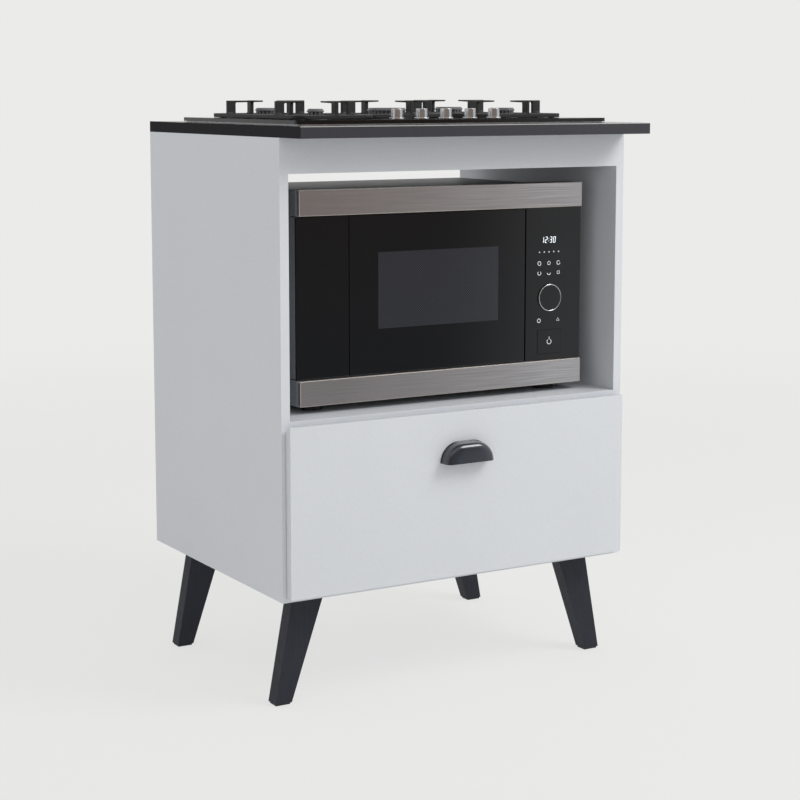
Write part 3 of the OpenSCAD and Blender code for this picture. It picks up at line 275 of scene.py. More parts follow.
@dataclass(frozen=True)
class BandedLaminate(Finish):
    """Laminate wrapped over the front edge, with a painted highlight on its bend and painted shade on each
    matt end.
    """

    band_x: float = 0.0
    band_soft_mm: float = 0.2
    band_specular: float = 0.0
    # The painted shade of the ends.
    painted_end_shade_tone: str = "#343436"
    # The painted highlight of the front bend: the plane it lies in front of, the plane it lies above, and its
    # tone.
    painted_highlight_edge: Pair = (0.0, 0.0)
    painted_highlight_tone: str = "#b4b2b0"

    def tone(self, tree: Tree, place: Socket) -> tuple[Socket, Socket]:
        """Paints shade on the ends, and a highlight on the narrow bend in front of one plane and above
        another.

        Args:
            tree: the material's node tree.
            place: Object coordinates.

        Returns:
            The colour socket and the grain socket.
        """
        skin, grain = super().tone(tree, place)
        split = add_node(tree, "SeparateXYZ", {0: place}).node.outputs
        away = add_node(tree, "Math", {0: split["X"]}, operation="ABSOLUTE")
        # Painted shade: past band_x on either side the tone is darkened.
        end = add_node(tree, "Math", {0: away, 1: self.band_x}, operation="GREATER_THAN")
        skin = add_node(tree, "Mix", {0: end, 6: skin, 7: linear(self.painted_end_shade_tone)}, 2, data_type="RGBA")
        # Painted highlight: the bend in front of one plane and above another is lightened.
        front, top = self.painted_highlight_edge
        ahead = add_node(tree, "Math", {0: split["Y"], 1: front}, operation="LESS_THAN")
        above = add_node(tree, "Math", {0: split["Z"], 1: top}, operation="GREATER_THAN")
        bend = add_node(tree, "Math", {0: ahead, 1: above}, operation="MULTIPLY")
        colours = {0: bend, 6: skin, 7: linear(self.painted_highlight_tone)}
        return add_node(tree, "Mix", colours, 2, data_type="RGBA"), grain

    def shader(self, tree: Tree, colour: Socket, grain: Socket) -> bpy.types.Node:
        """Dulls the shine where the distance from the middle passes the laminate's end.

        Args:
            tree: the material's node tree.
            colour: the colour socket.
            grain: the grain socket.

        Returns:
            The shader node.
        """
        surface = super().shader(tree, colour, grain)
        place = add_node(tree, "TexCoord", out="Object")
        across = add_node(tree, "SeparateXYZ", {0: place}, "X")
        away = add_node(tree, "Math", {0: across}, operation="ABSOLUTE")
        soft = self.band_soft_mm * MM
        ends = {"Value": away, "From Min": self.band_x - soft, "From Max": self.band_x + soft}
        shine = add_node(tree, "MapRange", ends | {"To Min": self.specular, "To Max": self.band_specular})
        tree.links.new(shine, surface.inputs["Specular IOR Level"])
        return surface


@dataclass(frozen=True)
class BrushedSheet(Finish):
    """Sheet brushed along its length by a belt that wandered, so that the streaks sway up and down."""

    wave_mm: float = 120.0
    sway_mm: float = 3.0

    def tone(self, tree: Tree, place: Socket) -> tuple[Socket, Socket]:
        """Lifts the grain's place by a broad noise, whose middle value lifts it by nothing.

        Args:
            tree: the material's node tree.
            place: Object coordinates.

        Returns:
            The colour socket and the grain socket.
        """
        broad = add_node(tree, "TexNoise", {"Vector": place, "Scale": 1 / (self.wave_mm * MM)})
        sway = self.sway_mm * MM
        lift = add_node(tree, "MapRange", {"Value": broad, "To Min": -sway, "To Max": sway})
        lifted = add_node(tree, "CombineXYZ", {"Z": lift})
        return super().tone(tree, add_node(tree, "VectorMath", {0: place, 1: lifted}, operation="ADD"))


@dataclass(frozen=True)
class Glow(Finish):
    """A display segment that gives its own light, or print that is given a painted glow."""

    strength: float = 0.8

    def shader(self, tree: Tree, colour: Socket, grain: Socket) -> bpy.types.Node:
        """Adds the light to the plain surface.

        Args:
            tree: the material's node tree.
            colour: the colour socket.
            grain: the grain socket.

        Returns:
            The shader node.
        """
        surface = super().shader(tree, colour, grain)
        tree.links.new(colour, surface.inputs["Emission Color"])
        surface.inputs["Emission Strength"].default_value = self.strength
        return surface


# Melamine foil on particle board: an even satin white with a faint pressed grain.
WHITE_LAMINATE = Finish("melamine_laminate_white", "#dcdfe3", "#d8dbdf", (5, 5, 5), (0.42, 0.55), 0.01)
# Thicker pressed laminate: dark graphite, slightly speckled, with soft reflections.
GRAPHITE_LAMINATE = BandedLaminate(
    "pressed_laminate_graphite", "#3f3f44", "#39393e", (3, 3, 3), (0.15, 0.21), 0.004, specular=0.35
)
# Hardboard faced with white paper: duller than the laminate, with a fibrous mottle.
WHITE_HARDBOARD = Finish("faced_hardboard", "#d8d8d4", "#cdcdc8", (9, 9, 2), (0.6, 0.75), 0.03)
# Turned beech: warm, with its grain along the dowel.
BEECH = Finish("turned_beech", "#b98d5e", "#94683e", (18, 1.2, 1.2), (0.5, 0.65), 0.05)
# Matt lacquer sprayed on solid wood: soft black with little sheen, the grain just showing along the leg.
BLACK_LACQUER = Finish(
    "lacquered_wood_black", "#393a42", "#323339", (2, 2, 40), (0.42, 0.54), 0.04, specular=0.1
)
# Zinc-plated steel: pale, slightly cloudy metal.
ZINC = Finish("zinc_plated_steel", "#b4b6b8", "#9a9ca0", (4, 4, 4), (0.32, 0.48), 0.01, metallic=1.0)
# Powder coat on folded sheet: off-white with an orange-peel skin.
WHITE_POWDER_COAT = Finish("powder_coated_steel", "#dedfda", "#d4d5d0", (2, 2, 2), (0.4, 0.5), 0.03)
# Moulded nylon: milky and slightly waxy.
NYLON = Finish("moulded_nylon", "#e4e0d4", "#d8d3c4", (6, 6, 6), (0.4, 0.5), 0.01)
# Moulded ABS, spark-eroded: black with a fine matt grain.
BLACK_ABS = Finish("moulded_abs_black", "#1b1b1d", "#151517", (1.2, 1.2, 1.2), (0.45, 0.6), 0.03)
# Die-cast zinc under gloss lacquer: slate black with sharp highlights.
SLATE_LACQUER = Finish("lacquered_zinc_slate", "#1f2632", "#1b222d", (8, 8, 8), (0.1, 0.15), 0.003, coat=0.8)
# Toughened glass printed black underneath: deep black with clear reflections.
HOB_GLASS = Finish(
    "toughened_glass_black", "#0c0c0e", "#0a0a0c", (60, 60, 60), (0.05, 0.09), 0.0, specular=0.4
)
# The same glass on the oven's front, faintly blue.
OVEN_GLASS = Finish("tinted_oven_glass", "#0c0f13", "#090c10", (60, 60, 60), (0.04, 0.08), 0.0, specular=0.4)
# Half-metal strip under the hob's edge, painted near white: a painted highlight that stands for a white line
# of light.
SEAL_PAINTED_HIGHLIGHT = Finish(
    "seal_strip_painted_highlight", "#f2f3f4", "#e8eaec", (40, 2, 2), (0.3, 0.4), 0.0, metallic=0.4
)
# Galvanised sheet: grey with a spangle.
GALVANISED = Finish("galvanised_steel", "#8e9194", "#7a7d81", (14, 14, 14), (0.4, 0.55), 0.01, metallic=1.0)
# Sand-cast aluminium: grey, matt and slightly rough.
CAST_ALUMINIUM = Finish("cast_aluminium", "#8a8b8d", "#737477", (2, 2, 2), (0.45, 0.6), 0.05, metallic=1.0)
# Vitreous enamel on a pressed cap: mid grey with a dull shine.
GREY_ENAMEL = Finish("vitreous_enamel_grey", "#6a6a6d", "#5c5c60", (3, 3, 3), (0.3, 0.42), 0.02)
# Enamelled cast iron: near black, pebbled.
CAST_IRON = Finish("enamelled_cast_iron", "#232326", "#1b1b1e", (1.6, 1.6, 1.6), (0.45, 0.62), 0.12)
# Machined brass: yellow metal with a dull shine.
BRASS = Finish("machined_brass", "#c79c52", "#ab803c", (3, 3, 3), (0.28, 0.42), 0.01, metallic=1.0)
# Turned and brushed knob metal: bright, with fine rings round the axis.
KNOB_METAL = Finish(
    "turned_aluminium", "#c8cacd", "#b5b7ba", (30, 30, 0.7), (0.14, 0.21), 0.006, metallic=1.0
)
# Stainless sheet brushed along its length: long streaks, coarser than the real hairlines so that they show.
BRUSHED_STEEL = BrushedSheet(
    "brushed_stainless_steel", "#c2c2c5", "#a5a4a7", (130, 2.4, 1.7), (0.15, 0.23), 0.004,
    mottle_share=0.2, metallic=1.0,
)
# Edge of the same sheet, ground round by hand, in a paler half-metal finish: a painted highlight, a thin
# bright line all round.
EDGE_PAINTED_HIGHLIGHT = Finish("ground_steel_edge_painted_highlight", "#c8c0b8", "#b9b1aa", (6, 6, 6), (0.4, 0.5), 0.0, metallic=0.4)
# Coated sheet steel of the oven's casing: mid grey with an orange-peel skin.
CASING_GREY = Finish("coated_sheet_grey", "#77787b", "#6d6e71", (2.5, 2.5, 2.5), (0.4, 0.52), 0.03)
# Enamel inside the oven: light grey with a soft shine.
CAVITY_ENAMEL = Finish("cavity_enamel", "#bcbdbd", "#b1b2b2", (5, 5, 5), (0.3, 0.4), 0.02)
# Moulded ABS of the oven's door and frame: mid grey with a soft sheen.
GREY_ABS = Finish("moulded_abs_grey", "#7e8084", "#75777b", (1.5, 1.5, 1.5), (0.35, 0.5), 0.02)
# Gloss ABS: black moulding with clear reflections.
GLOSS_ABS = Finish("gloss_abs_black", "#131315", "#101012", (20, 20, 20), (0.12, 0.2), 0.005)
# Clear toughened glass, faintly green.
CLEAR_GLASS = Finish(
    "toughened_glass_clear", "#e6f2ee", "#dcebe6", (60, 60, 60), (0.02, 0.05), 0.0, transmission=1.0
)
# Varnished steel stampings and sheet of the power pack: dark grey in thin layers.
VARNISHED_STEEL = Finish("varnished_laminations", "#5b5d62", "#46484d", (60, 60, 0.8), (0.4, 0.55), 0.05)
# White print on the panel's glass, with a faint painted glow.
PRINT_PAINTED_GLOW = Glow("ceramic_print_white_painted_glow", "#d4d8dc", "#cacfd3", (3, 3, 3), (0.4, 0.5), 0.0, strength=0.35)
# Lit clock segments, cold white.
CLOCK_LIGHT = Glow("clock_segment", "#e8f0f6", "#dfe9f1", (3, 3, 3), (0.4, 0.5), 0.0)
# Polished rim of the oven's dial: bright, with clear reflections.
DIAL_RIM = Finish("polished_aluminium", "#d4d5d7", "#c6c7ca", (8, 8, 8), (0.12, 0.2), 0.0, metallic=1.0)


@dataclass
class Shell:
    """One surface: its points, and arrays of faces, where a row holds the numbers of one face's points."""

    points: Points
    faces: list[Points]


def grid_shell(
    points: Points, wrap_rows: bool = False, wrap_columns: bool = False,
    caps: bool = False, floor: bool = False,
) -> Shell:
    """Covers a grid of points with four-sided faces.

    Face (r, c) joins points (r, c), (r, c + 1), (r + 1, c + 1) and (r + 1, c), counted round where the
    grid wraps.

    Args:
        points: rows by columns by 3.
        wrap_rows: joins the last row to the first.
        wrap_columns: joins the last column to the first.
        caps: closes the first and last rows with a face each.
        floor: closes the whole rim of an open grid with one face.

    Returns:
        The surface.
    """
    rows, columns = points.shape[:2]
    number = np.arange(rows * columns).reshape(rows, columns)
    row = np.arange(rows if wrap_rows else rows - 1)[:, None]
    column = np.arange(columns if wrap_columns else columns - 1)[None, :]
    row_next, column_next = (row + 1) % rows, (column + 1) % columns
    ring = [(row, column), (row, column_next), (row_next, column_next), (row_next, column)]
    faces = [np.stack([number[corner] for corner in ring], -1).reshape(-1, 4)]
    if caps:
        faces += [number[:1, ::-1], number[-1:]]
    if floor:
        rim = [number[0, :-1], number[:-1, -1], number[-1, :0:-1], number[:0:-1, 0]]
        faces.append(np.concatenate(rim)[None, ::-1])
    return Shell(points.reshape(-1, 3), faces)


def turned(profile: Points, centre: Triple, spin: Spin, steps: int = 72) -> Shell:
    """Turns a profile round an axis: each point (radius, height) becomes a circle at that height.

    Args:
        profile: points from one end of the axis to the other.
        centre: where radius and height are 0.
        spin: the axis. Height runs up, or towards the front.
        steps: points in each circle.

    Returns:
        The surface.
    """
    angle = np.linspace(0, 2 * np.pi, steps, endpoint=False)
    radius, height = np.asarray(profile, float).T
    across = radius[:, None] * np.cos(angle)
    other = radius[:, None] * np.sin(angle)
    along = np.repeat(height[:, None], steps, axis=1)
    order = (across, other, along) if spin is Spin.UPRIGHT else (across, -along, other)
    return grid_shell(np.stack(order, -1) + np.asarray(centre), wrap_columns=True)


def boxes(lows: Points | Triple, highs: Points | Triple) -> Shell:
    """Makes boxes from their lowest and highest corners, all at once.

    Args:
        lows: the lowest corner, or one row for each box.
        highs: the highest corner, or one row for each box.

    Returns:
        The surfaces as one shell.
    """
    lows, highs = np.atleast_2d(lows), np.atleast_2d(highs)
    choice = np.array([[x, y, z] for z in (0, 1) for y in (0, 1) for x in (0, 1)])
    points = lows[:, None] + choice[None] * (highs - lows)[:, None]
    sides = np.array([[0, 2, 3, 1], [4, 5, 7, 6], [0, 1, 5, 4], [2, 6, 7, 3], [0, 4, 6, 2], [1, 3, 7, 5]])
    faces = (sides[None] + len(choice) * np.arange(len(lows))[:, None, None]).reshape(-1, 4)
    return Shell(points.reshape(-1, 3), [faces])


def solid_shell(solid: bpy.types.Object) -> Shell:
    """Copies the triangles of a solid.

    Args:
        solid: one of the frame's solids.

    Returns:
        Its surface.
    """
    points = np.empty(3 * len(solid.data.vertices), np.float32)
    solid.data.vertices.foreach_get("co", points)
    numbers = np.empty(3 * len(solid.data.polygons), np.int32)
    solid.data.polygons.foreach_get("vertices", numbers)
    return Shell(points.reshape(-1, 3), [numbers.reshape(-1, 3)])


def arc(centre: Pair, radius: float, start_deg: float, end_deg: float, steps: int = 10) -> Points:
    """Points on a circular arc of a profile.

    Args:
        centre: the arc's centre, as (radius, height).
        radius: the arc's radius.
        start_deg: the first angle.
        end_deg: the last angle.
        steps: the number of points.

    Returns:
        The points.
    """
    angle = np.radians(np.linspace(start_deg, end_deg, steps))
    return np.stack([centre[0] + radius * np.cos(angle), centre[1] + radius * np.sin(angle)], -1)


def make_piece(
    name: str, shells: list[Shell], finish: Finish, body: str,
    replaces: tuple[str, ...] = (), sharp_deg: float = 32,
) -> bpy.types.Object:
    """Joins shells into one object, turns their faces outwards and hangs it on a body.

    Args:
        name: the piece's name.
        shells: its surfaces.
        finish: its finish.
        body: the body that it moves with.
        replaces: the solids that it stands for.
        sharp_deg: edges bent by more than this stay sharp.

    Returns:
        The object.
    """
    starts = np.cumsum([0] + [len(shell.points) for shell in shells])
    points = np.concatenate([shell.points for shell in shells])
    blocks = [block + start for shell, start in zip(shells, starts) for block in shell.faces]
    mesh = bpy.data.meshes.new(name)
    mesh.from_pydata(points.tolist(), [], [face for block in blocks for face in block.tolist()])
    work = bmesh.new()
    work.from_mesh(mesh)
    bmesh.ops.remove_doubles(work, verts=work.verts, dist=MERGE_WITHIN)
    bmesh.ops.recalc_face_normals(work, faces=work.faces)
    work.to_mesh(mesh)
    work.free()
    mesh.shade_smooth()
    mesh.set_sharp_from_angle(angle=math.radians(sharp_deg))
    made = bpy.data.objects.new(name, mesh)
    bpy.context.scene.collection.objects.link(made)
    made.data.materials.append(finish.material())
    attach(made, body)
    if replaces:
        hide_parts(*replaces)
    LOG.info("piece %s: %d faces on %s", name, len(mesh.polygons), body)
    return made


@dataclass
class SubAssembly:
    """Solids of the frame that belong together, with their finishes and the pieces made for them."""

    frame: dict

    def break_edges(self, solid: bpy.types.Object, edge_mm: float, edge: Finish | None) -> None:
        """Rounds a solid's sharp edges and keeps its faces flat beside them.

        Args:
            solid: the solid, whose own mesh stays as it is.
            edge_mm: the radius of the edges.
            edge: the finish of the rounded edges, where it differs.
        """
        weld = solid.modifiers.new("weld", "WELD")
        weld.merge_threshold = WELD_WITHIN
        bevel = solid.modifiers.new("broken_edge", "BEVEL")
        bevel.width = edge_mm * MM
        bevel.segments = EDGE_FACETS
        bevel.limit_method = "ANGLE"
        bevel.angle_limit = math.radians(EDGE_FROM_DEG)
        if edge is not None:
            solid.data.materials.append(edge.material())
            bevel.material = 1
        flats = solid.modifiers.new("flat_faces", "EDGE_SPLIT")
        flats.split_angle = math.radians(SMOOTH_TO_DEG)
        flats.use_edge_sharp = False

    def coat(self, finish: Finish, *names: str, edge_mm: float = 0.0, edge: Finish | None = None) -> None:
        """Gives solids their finish and, where asked, softly broken edges.

        Args:
            finish: the finish.
            names: the solids' names.
            edge_mm: the radius of their edges, or 0 to leave them.
            edge: the finish of the rounded edges, where it differs.
        """
        for name in names:
            solid = self.frame["nodes"][name]
            solid.data.materials.clear()
            solid.data.materials.append(finish.material())
            if edge_mm:
                self.break_edges(solid, edge_mm, edge)
            LOG.info("solid %s: %s", name, finish.name)

    def dress(self) -> None:
        """Gives the solids their finishes."""
        raise NotImplementedError

    def build(self) -> None:
        """Makes the new pieces, where there are any."""


@dataclass
class Carcass(SubAssembly):
    """The boards, the worktop, the legs and what joins them."""

    edge_mm: float = 0.8
    worktop_edge_mm: float = 1.1
    leg_edge_mm: float = 1.5
    band_t: float = 0.5 * MM
    boards: tuple[str, ...] = (
        "left_side_panel", "right_side_panel", "bottom_panel",
        "niche_shelf", "front_top_rail", "rear_top_rail",
    )
    legs: tuple[str, ...] = ("leg_front_left", "leg_front_right", "leg_back_left", "leg_back_right")
    fittings: tuple[str, ...] = ("cam_fittings", "worktop_brackets", "leg_fixings", "panel_screws")

    def worktop_finish(self) -> Finish:
        """Puts the painted shade of the laminate's matt ends and the painted highlight of its bend where the
        worktop has them.

        Returns:
            The finish.
        """
        low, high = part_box("worktop")
        edge = self.worktop_edge_mm * MM
        return replace(GRAPHITE_LAMINATE, band_x=high.x - self.band_t, painted_highlight_edge=(low.y + edge, high.z - edge))

    def dress(self) -> None:
        """Gives the carcass its finishes."""
        self.coat(WHITE_LAMINATE, *self.boards, edge_mm=self.edge_mm)
        self.coat(self.worktop_finish(), "worktop", edge_mm=self.worktop_edge_mm)
        self.coat(WHITE_HARDBOARD, "back_panel")
        self.coat(BEECH, "carcass_dowels")
        self.coat(BLACK_LACQUER, *self.legs, edge_mm=self.leg_edge_mm)
        self.coat(ZINC, *self.fittings)
        self.coat(BLACK_ABS, "foot_glides")
        self.coat(WHITE_POWDER_COAT, "runner_rails")
        self.coat(NYLON, "cabinet_rollers")


@dataclass
class Drawer(SubAssembly):
    """The drawer's box and front, and its cup handle."""

    body: str = "drawer"
    edge_mm: float = 0.8
    wall: float = 2.2 * MM
    flange: float = 1.5 * MM
    flange_t: float = 2 * MM
    bend: float = 10 * MM
    flat_share: float = 0.4
    arc_steps: int = 28

    def dress(self) -> None:
        """Gives the drawer its finishes."""
        self.coat(WHITE_LAMINATE, "drawer_front", edge_mm=self.edge_mm)
        self.coat(WHITE_LAMINATE, "drawer_sides", "drawer_back")
        self.coat(WHITE_HARDBOARD, "drawer_bottom")
        self.coat(WHITE_POWDER_COAT, "drawer_runners")
        self.coat(NYLON, "drawer_rollers")
        self.coat(ZINC, "drawer_fasteners")

    def section(self, height: float, depth: float) -> Points:
        """The handle's closed section: out along the flange, over the face, and back along the inside.

        Args:
            height: the handle's height, which is the section's largest radius.
            depth: how far the handle stands out.

        Returns:
            Points as (radius, depth).
        """
        body = height - self.flange
        lip = self.flange_t / 2
        root = self.flange - lip
        inner = body - self.wall
        inner_bend = self.bend - self.wall
        outer = [
            [[height, 0]],
            arc((height - lip, self.flange_t - lip), lip, 0, 90, steps=6),
            arc((body + root, self.flange_t + root), root, 270, 180, steps=5),
            arc((body - self.bend, depth - self.bend), self.bend, 0, 90, steps=18),
            [[self.flat_share * body, depth], [0, depth]],
        ]
        inside = [
            [[0, depth - self.wall]],
            arc((inner - inner_bend, depth - self.wall - inner_bend), inner_bend, 90, 0, steps=14),
            [[inner, 0]],
        ]
        return np.concatenate([np.asarray(part, float) for part in outer + inside])

    def build(self) -> None:
        """Carries the handle's section round its left corner, along its top and round its right corner."""
        low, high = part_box("cup_handle")
        width, depth, height = high - low
        reach = width / 2 - height
        turn = np.linspace(np.pi, np.pi / 2, self.arc_steps)
        angle = np.concatenate([turn, np.pi - turn[::-1]])
        start = np.where(np.arange(len(angle)) < self.arc_steps, -reach, reach)
        radius, stand = self.section(height, depth).T
        x = (low.x + high.x) / 2 + start[:, None] + np.cos(angle)[:, None] * radius
        z = low.z + np.sin(angle)[:, None] * radius
        y = np.broadcast_to(high.y - stand, x.shape)
        shell = grid_shell(np.stack([x, y, z], -1), wrap_columns=True, caps=True)
        make_piece("cup_handle_shell", [shell], SLATE_LACQUER, self.body, ("cup_handle",))


@dataclass
class Hob(SubAssembly):
    """The gas hob: glass, burners, grates and knobs."""

    glass_edge_mm: float = 0.6
    grates: tuple[str, ...] = ("grate_left", "grate_centre", "grate_right")
    cast_grid: float = 1.0 * MM
    cast_passes: int = 5
    knobs: int = 5
    bore: float = 3.3 * MM
    bore_h: float = 10.5 * MM
    skirt_h: float = 2 * MM
    body_in: float = 2.2 * MM
    taper: float = 0.7 * MM
    rim: float = 0.9 * MM
    land: float = 0.9 * MM
    dish: float = 0.4 * MM
    dish_slope: float = 0.18 * MM
    mark_h: float = 0.5 * MM
    mark_t: float = 1.0 * MM
    mark_w: float = 1.6 * MM
    mark_start: float = 1.0 * MM

    def dress(self) -> None:
        """Gives the hob its finishes."""
        self.coat(HOB_GLASS, "hob_glass", edge_mm=self.glass_edge_mm)
        # The seal's near-white is a painted highlight.
        self.coat(SEAL_PAINTED_HIGHLIGHT, "hob_seal")
        self.coat(GALVANISED, "hob_tray")
        self.coat(CAST_ALUMINIUM, "burner_cups", "burner_crowns")
        self.coat(GREY_ENAMEL, "burner_caps")
        self.coat(CAST_IRON, *self.grates)
        self.coat(BRASS, "gas_manifold", "gas_valves")
        self.coat(ZINC, "hob_clamps")

    def knob_profile(self, radius: float, height: float) -> Points:
        """A knob's section: up its bore, out under the skirt, up the tapered body and over a dished top.

        Args:
            radius: the skirt's radius.
            height: the knob's height.

        Returns:
            Points as (radius, height).
        """
        body = radius - self.body_in
        top = body - self.taper
        land = top - self.rim - self.land
        dished = height - self.dish
        parts = [
            [[0, self.bore_h], [self.bore, self.bore_h], [self.bore, 0], [radius, 0]],
            arc((radius - self.rim, self.skirt_h - self.rim), self.rim, 0, 90, steps=6),
            [[body, self.skirt_h]],
            arc((top - self.rim, height - self.rim), self.rim, 0, 90, steps=8),
            [[land, height], [land - self.dish_slope, dished], [0, dished]],
        ]
        return np.concatenate([np.asarray(part, float) for part in parts])

    def build_grates(self) -> None:
        """Casts the grates, with the rounded edges and filled roots that a mould gives.

        The merged solid is resampled on a fine grid, then each point moves to its neighbours' middle a few
        times.
        """
        for node in self.grates:
            shell = solid_shell(self.frame["nodes"][node])
            made = make_piece(f"{node}_cast", [shell], CAST_IRON, "cabinet", (node,))
            grid = made.modifiers.new("fine_grid", "REMESH")
            grid.mode = "VOXEL"
            grid.voxel_size = self.cast_grid
            grid.use_smooth_shade = True
            softened = made.modifiers.new("soft_edges", "SMOOTH")
            softened.iterations = self.cast_passes

    def build_knobs(self) -> None:
        """Turns the knobs, each with a raised black pointer."""
        for k in range(1, self.knobs + 1):
            node = f"hob_knob_{k}"
            low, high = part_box(node)
            centre = ((low.x + high.x) / 2, (low.y + high.y) / 2, low.z)
            radius = (high.x - low.x) / 2
            height = high.z - low.z - self.mark_h
            shell = turned(self.knob_profile(radius, height), centre, Spin.UPRIGHT)
            tip = radius - self.body_in - self.taper - self.rim
            half = self.mark_w / 2
            mark = boxes(
                (centre[0] - half, centre[1] + self.mark_start, high.z - self.mark_t),
                (centre[0] + half, centre[1] + tip, high.z),
            )
            make_piece(f"{node}_turned", [shell], KNOB_METAL, node, (node,))
            make_piece(f"{node}_pointer", [mark], BLACK_ABS, node)

    def build(self) -> None:
        """Casts the grates and turns the knobs."""
        self.build_grates()
        self.build_knobs()


@dataclass(frozen=True)
class Mark:
    """A plain printed mark: a column of the panel, a height, a number of sides and the arc it covers."""

    column: int
    z: float
    sides: int
    start_deg: float = 0
    end_deg: float | None = None

    def __post_init__(self) -> None:
        """Closes the mark where no end is given."""
        if self.end_deg is None:
            object.__setattr__(self, "end_deg", self.start_deg + 360)


@dataclass
class Oven(SubAssembly):
    """The microwave oven: casing, front, door and controls."""

    trim_edge_mm: float = 1.1
    pane_edge_mm: float = 0.5
    button_edge_mm: float = 0.4
    joint_x: float = -177.5 * MM
    window: Pair = (230 * MM, 123 * MM)
    window_rise: float = 6 * MM
    print_t: float = 0.25 * MM
    clock: str = "12:30"
    digit: Pair = (4.8 * MM, 10.5 * MM)
    digit_step: float = 7.2 * MM
    colon_step: float = 2.4 * MM
    slant: float = 0.1
    stroke: float = 1.0 * MM
    bar_gap: float = 0.1 * MM
    clock_z: float = 723.5 * MM
    column_x: Triple = (188.5 * MM, 208 * MM, 227.5 * MM)
    dots: int = 5
    dots_z: float = 703 * MM
    dot: float = 2.0 * MM
    mark_r: float = 3.2 * MM
    marks: tuple[Mark, ...] = (
        Mark(0, 684 * MM, 24), Mark(1, 684 * MM, 5, 90), Mark(2, 684 * MM, 24, 40, 360),
        Mark(0, 667.5 * MM, 24, -230, 50), Mark(1, 667.5 * MM, 20, 180, 360), Mark(2, 667.5 * MM, 4, 45),
        Mark(0, 587 * MM, 24), Mark(2, 587 * MM, 3, 90),
    )
    segments: dict[str, str] = field(
        default_factory=lambda: {"0": "abcdef", "1": "bc", "2": "abged", "3": "abgcd"}
    )
    colon: dict[str, float] = field(default_factory=lambda: {"upper": 6.51 * MM, "lower": 2.73 * MM})
    button_ring: Mark = Mark(1, 0, 24, 130, 410)
    button_ring_r: float = 4.16 * MM
    button_bar: Pair = (3.2 * MM, 8.32 * MM)
    dial_proud: float = 3 * MM
    dial_seat: float = 3.7 * MM
    dial_shoulder: float = 1.2 * MM
    dial_face_sunk: float = 0.4 * MM
    dial_face_cut: Pair = (0.3 * MM, 0.2 * MM)
    dial_shaft_r: float = 4 * MM
    dial_clip: Pair = (7 * MM, 2 * MM)
    dial_steps: int = 96
    rim_w: float = 1.7 * MM
    casing_wall: float = 1 * MM
    louvre: Triple = (44 * MM, 7 * MM, 2.6 * MM)
    louvre_powers: Pair = (0.4, 0.6)
    louvre_grid: tuple[int, int] = (21, 9)
    louvre_sunk: float = 0.2 * MM
    louvre_x: tuple[float, ...] = (-60 * MM, 0.0, 60 * MM, 120 * MM, 180 * MM)
    louvre_z: tuple[float, float, int] = (600 * MM, 14 * MM, 10)
    screw_r: float = 3.8 * MM
    screw_h: float = 1.7 * MM
    screw_side: float = 0.51 * MM
    screw_crown_deg: float = -80
    recess_r: Pair = (1.71 * MM, 1.52 * MM)
    recess_depth: float = 0.68 * MM
    screw_steps: int = 32
    screw_inset: float = 14 * MM

    def door_finish(self) -> Finish:
        """Puts the window in the middle of the door's glass, right of the joint.

        Returns:
            The finish.
        """
        low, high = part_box("oven_door_panes")
        return WindowGlass(
            "printed_door_glass", OVEN_GLASS.base, OVEN_GLASS.varied, OVEN_GLASS.grain_mm,
            OVEN_GLASS.roughness, OVEN_GLASS.bump_mm, specular=OVEN_GLASS.specular,
            centre=((self.joint_x + high.x) / 2, (low.z + high.z) / 2 + self.window_rise),
            half=(self.window[0] / 2, self.window[1] / 2),
        )

    def dress(self) -> None:
        """Gives the oven its finishes."""
        self.coat(CASING_GREY, "oven_casing", "oven_base")
        self.coat(CAVITY_ENAMEL, "oven_cavity")
        self.coat(GREY_ABS, "oven_front_frame", "oven_door_frame")
        self.coat(BLACK_ABS, "oven_feet")
        self.coat(OVEN_GLASS, "oven_control_panel")
        # The trims' rounded edges carry a painted highlight.
        self.coat(BRUSHED_STEEL, "oven_trims", edge_mm=self.trim_edge_mm, edge=EDGE_PAINTED_HIGHLIGHT)
        self.coat(self.door_finish(), "oven_door_panes", edge_mm=self.pane_edge_mm)
        self.coat(GLOSS_ABS, "oven_dial")
        self.coat(OVEN_GLASS, "oven_button", edge_mm=self.button_edge_mm)
        self.coat(CLEAR_GLASS, "oven_turntable")
        self.coat(NYLON, "oven_roller_ring")
        self.coat(GALVANISED, "oven_turntable_motor")
        self.coat(VARNISHED_STEEL, "oven_power_pack")

    def digit_bars(self, figure: str, x: float, face_y: float) -> Shell:
        """The lit bars of one figure, leaning to the right as they rise.

        Args:
            figure: a digit, or a colon.
            x: its left edge.
            face_y: the front of the glass.

        Returns:
            The bars as one shell.
        """
        wide, tall = self.digit
        line = self.stroke
        right, roof = wide - line, tall - line
        upper_foot, upper_top = tall / 2 + self.bar_gap, tall - line / 2
        lower_foot, lower_top = line / 2, tall / 2 - self.bar_gap
        bars = {
            "a": (line, roof, right, tall),
            "g": (line, roof / 2, right, roof / 2 + line),
            "d": (line, 0, right, line),
            "f": (0, upper_foot, line, upper_top),
            "b": (right, upper_foot, wide, upper_top),
            "e": (0, lower_foot, line, lower_top),
            "c": (right, lower_foot, wide, lower_top),
        }
        bars |= {name: (0, foot, line, foot + line) for name, foot in self.colon.items()}
        chosen = np.array([bars[name] for name in (self.colon if figure == ":" else self.segments[figure])])
        low_z = self.clock_z - tall / 2
        front = np.full(len(chosen), face_y - self.print_t)
        lows = np.stack([x + chosen[:, 0], front, low_z + chosen[:, 1]], -1)
        highs = np.stack([x + chosen[:, 2], front + self.print_t, low_z + chosen[:, 3]], -1)
        shell = boxes(lows, highs)
        shell.points[:, 0] += self.slant * (shell.points[:, 2] - self.clock_z)
        return shell

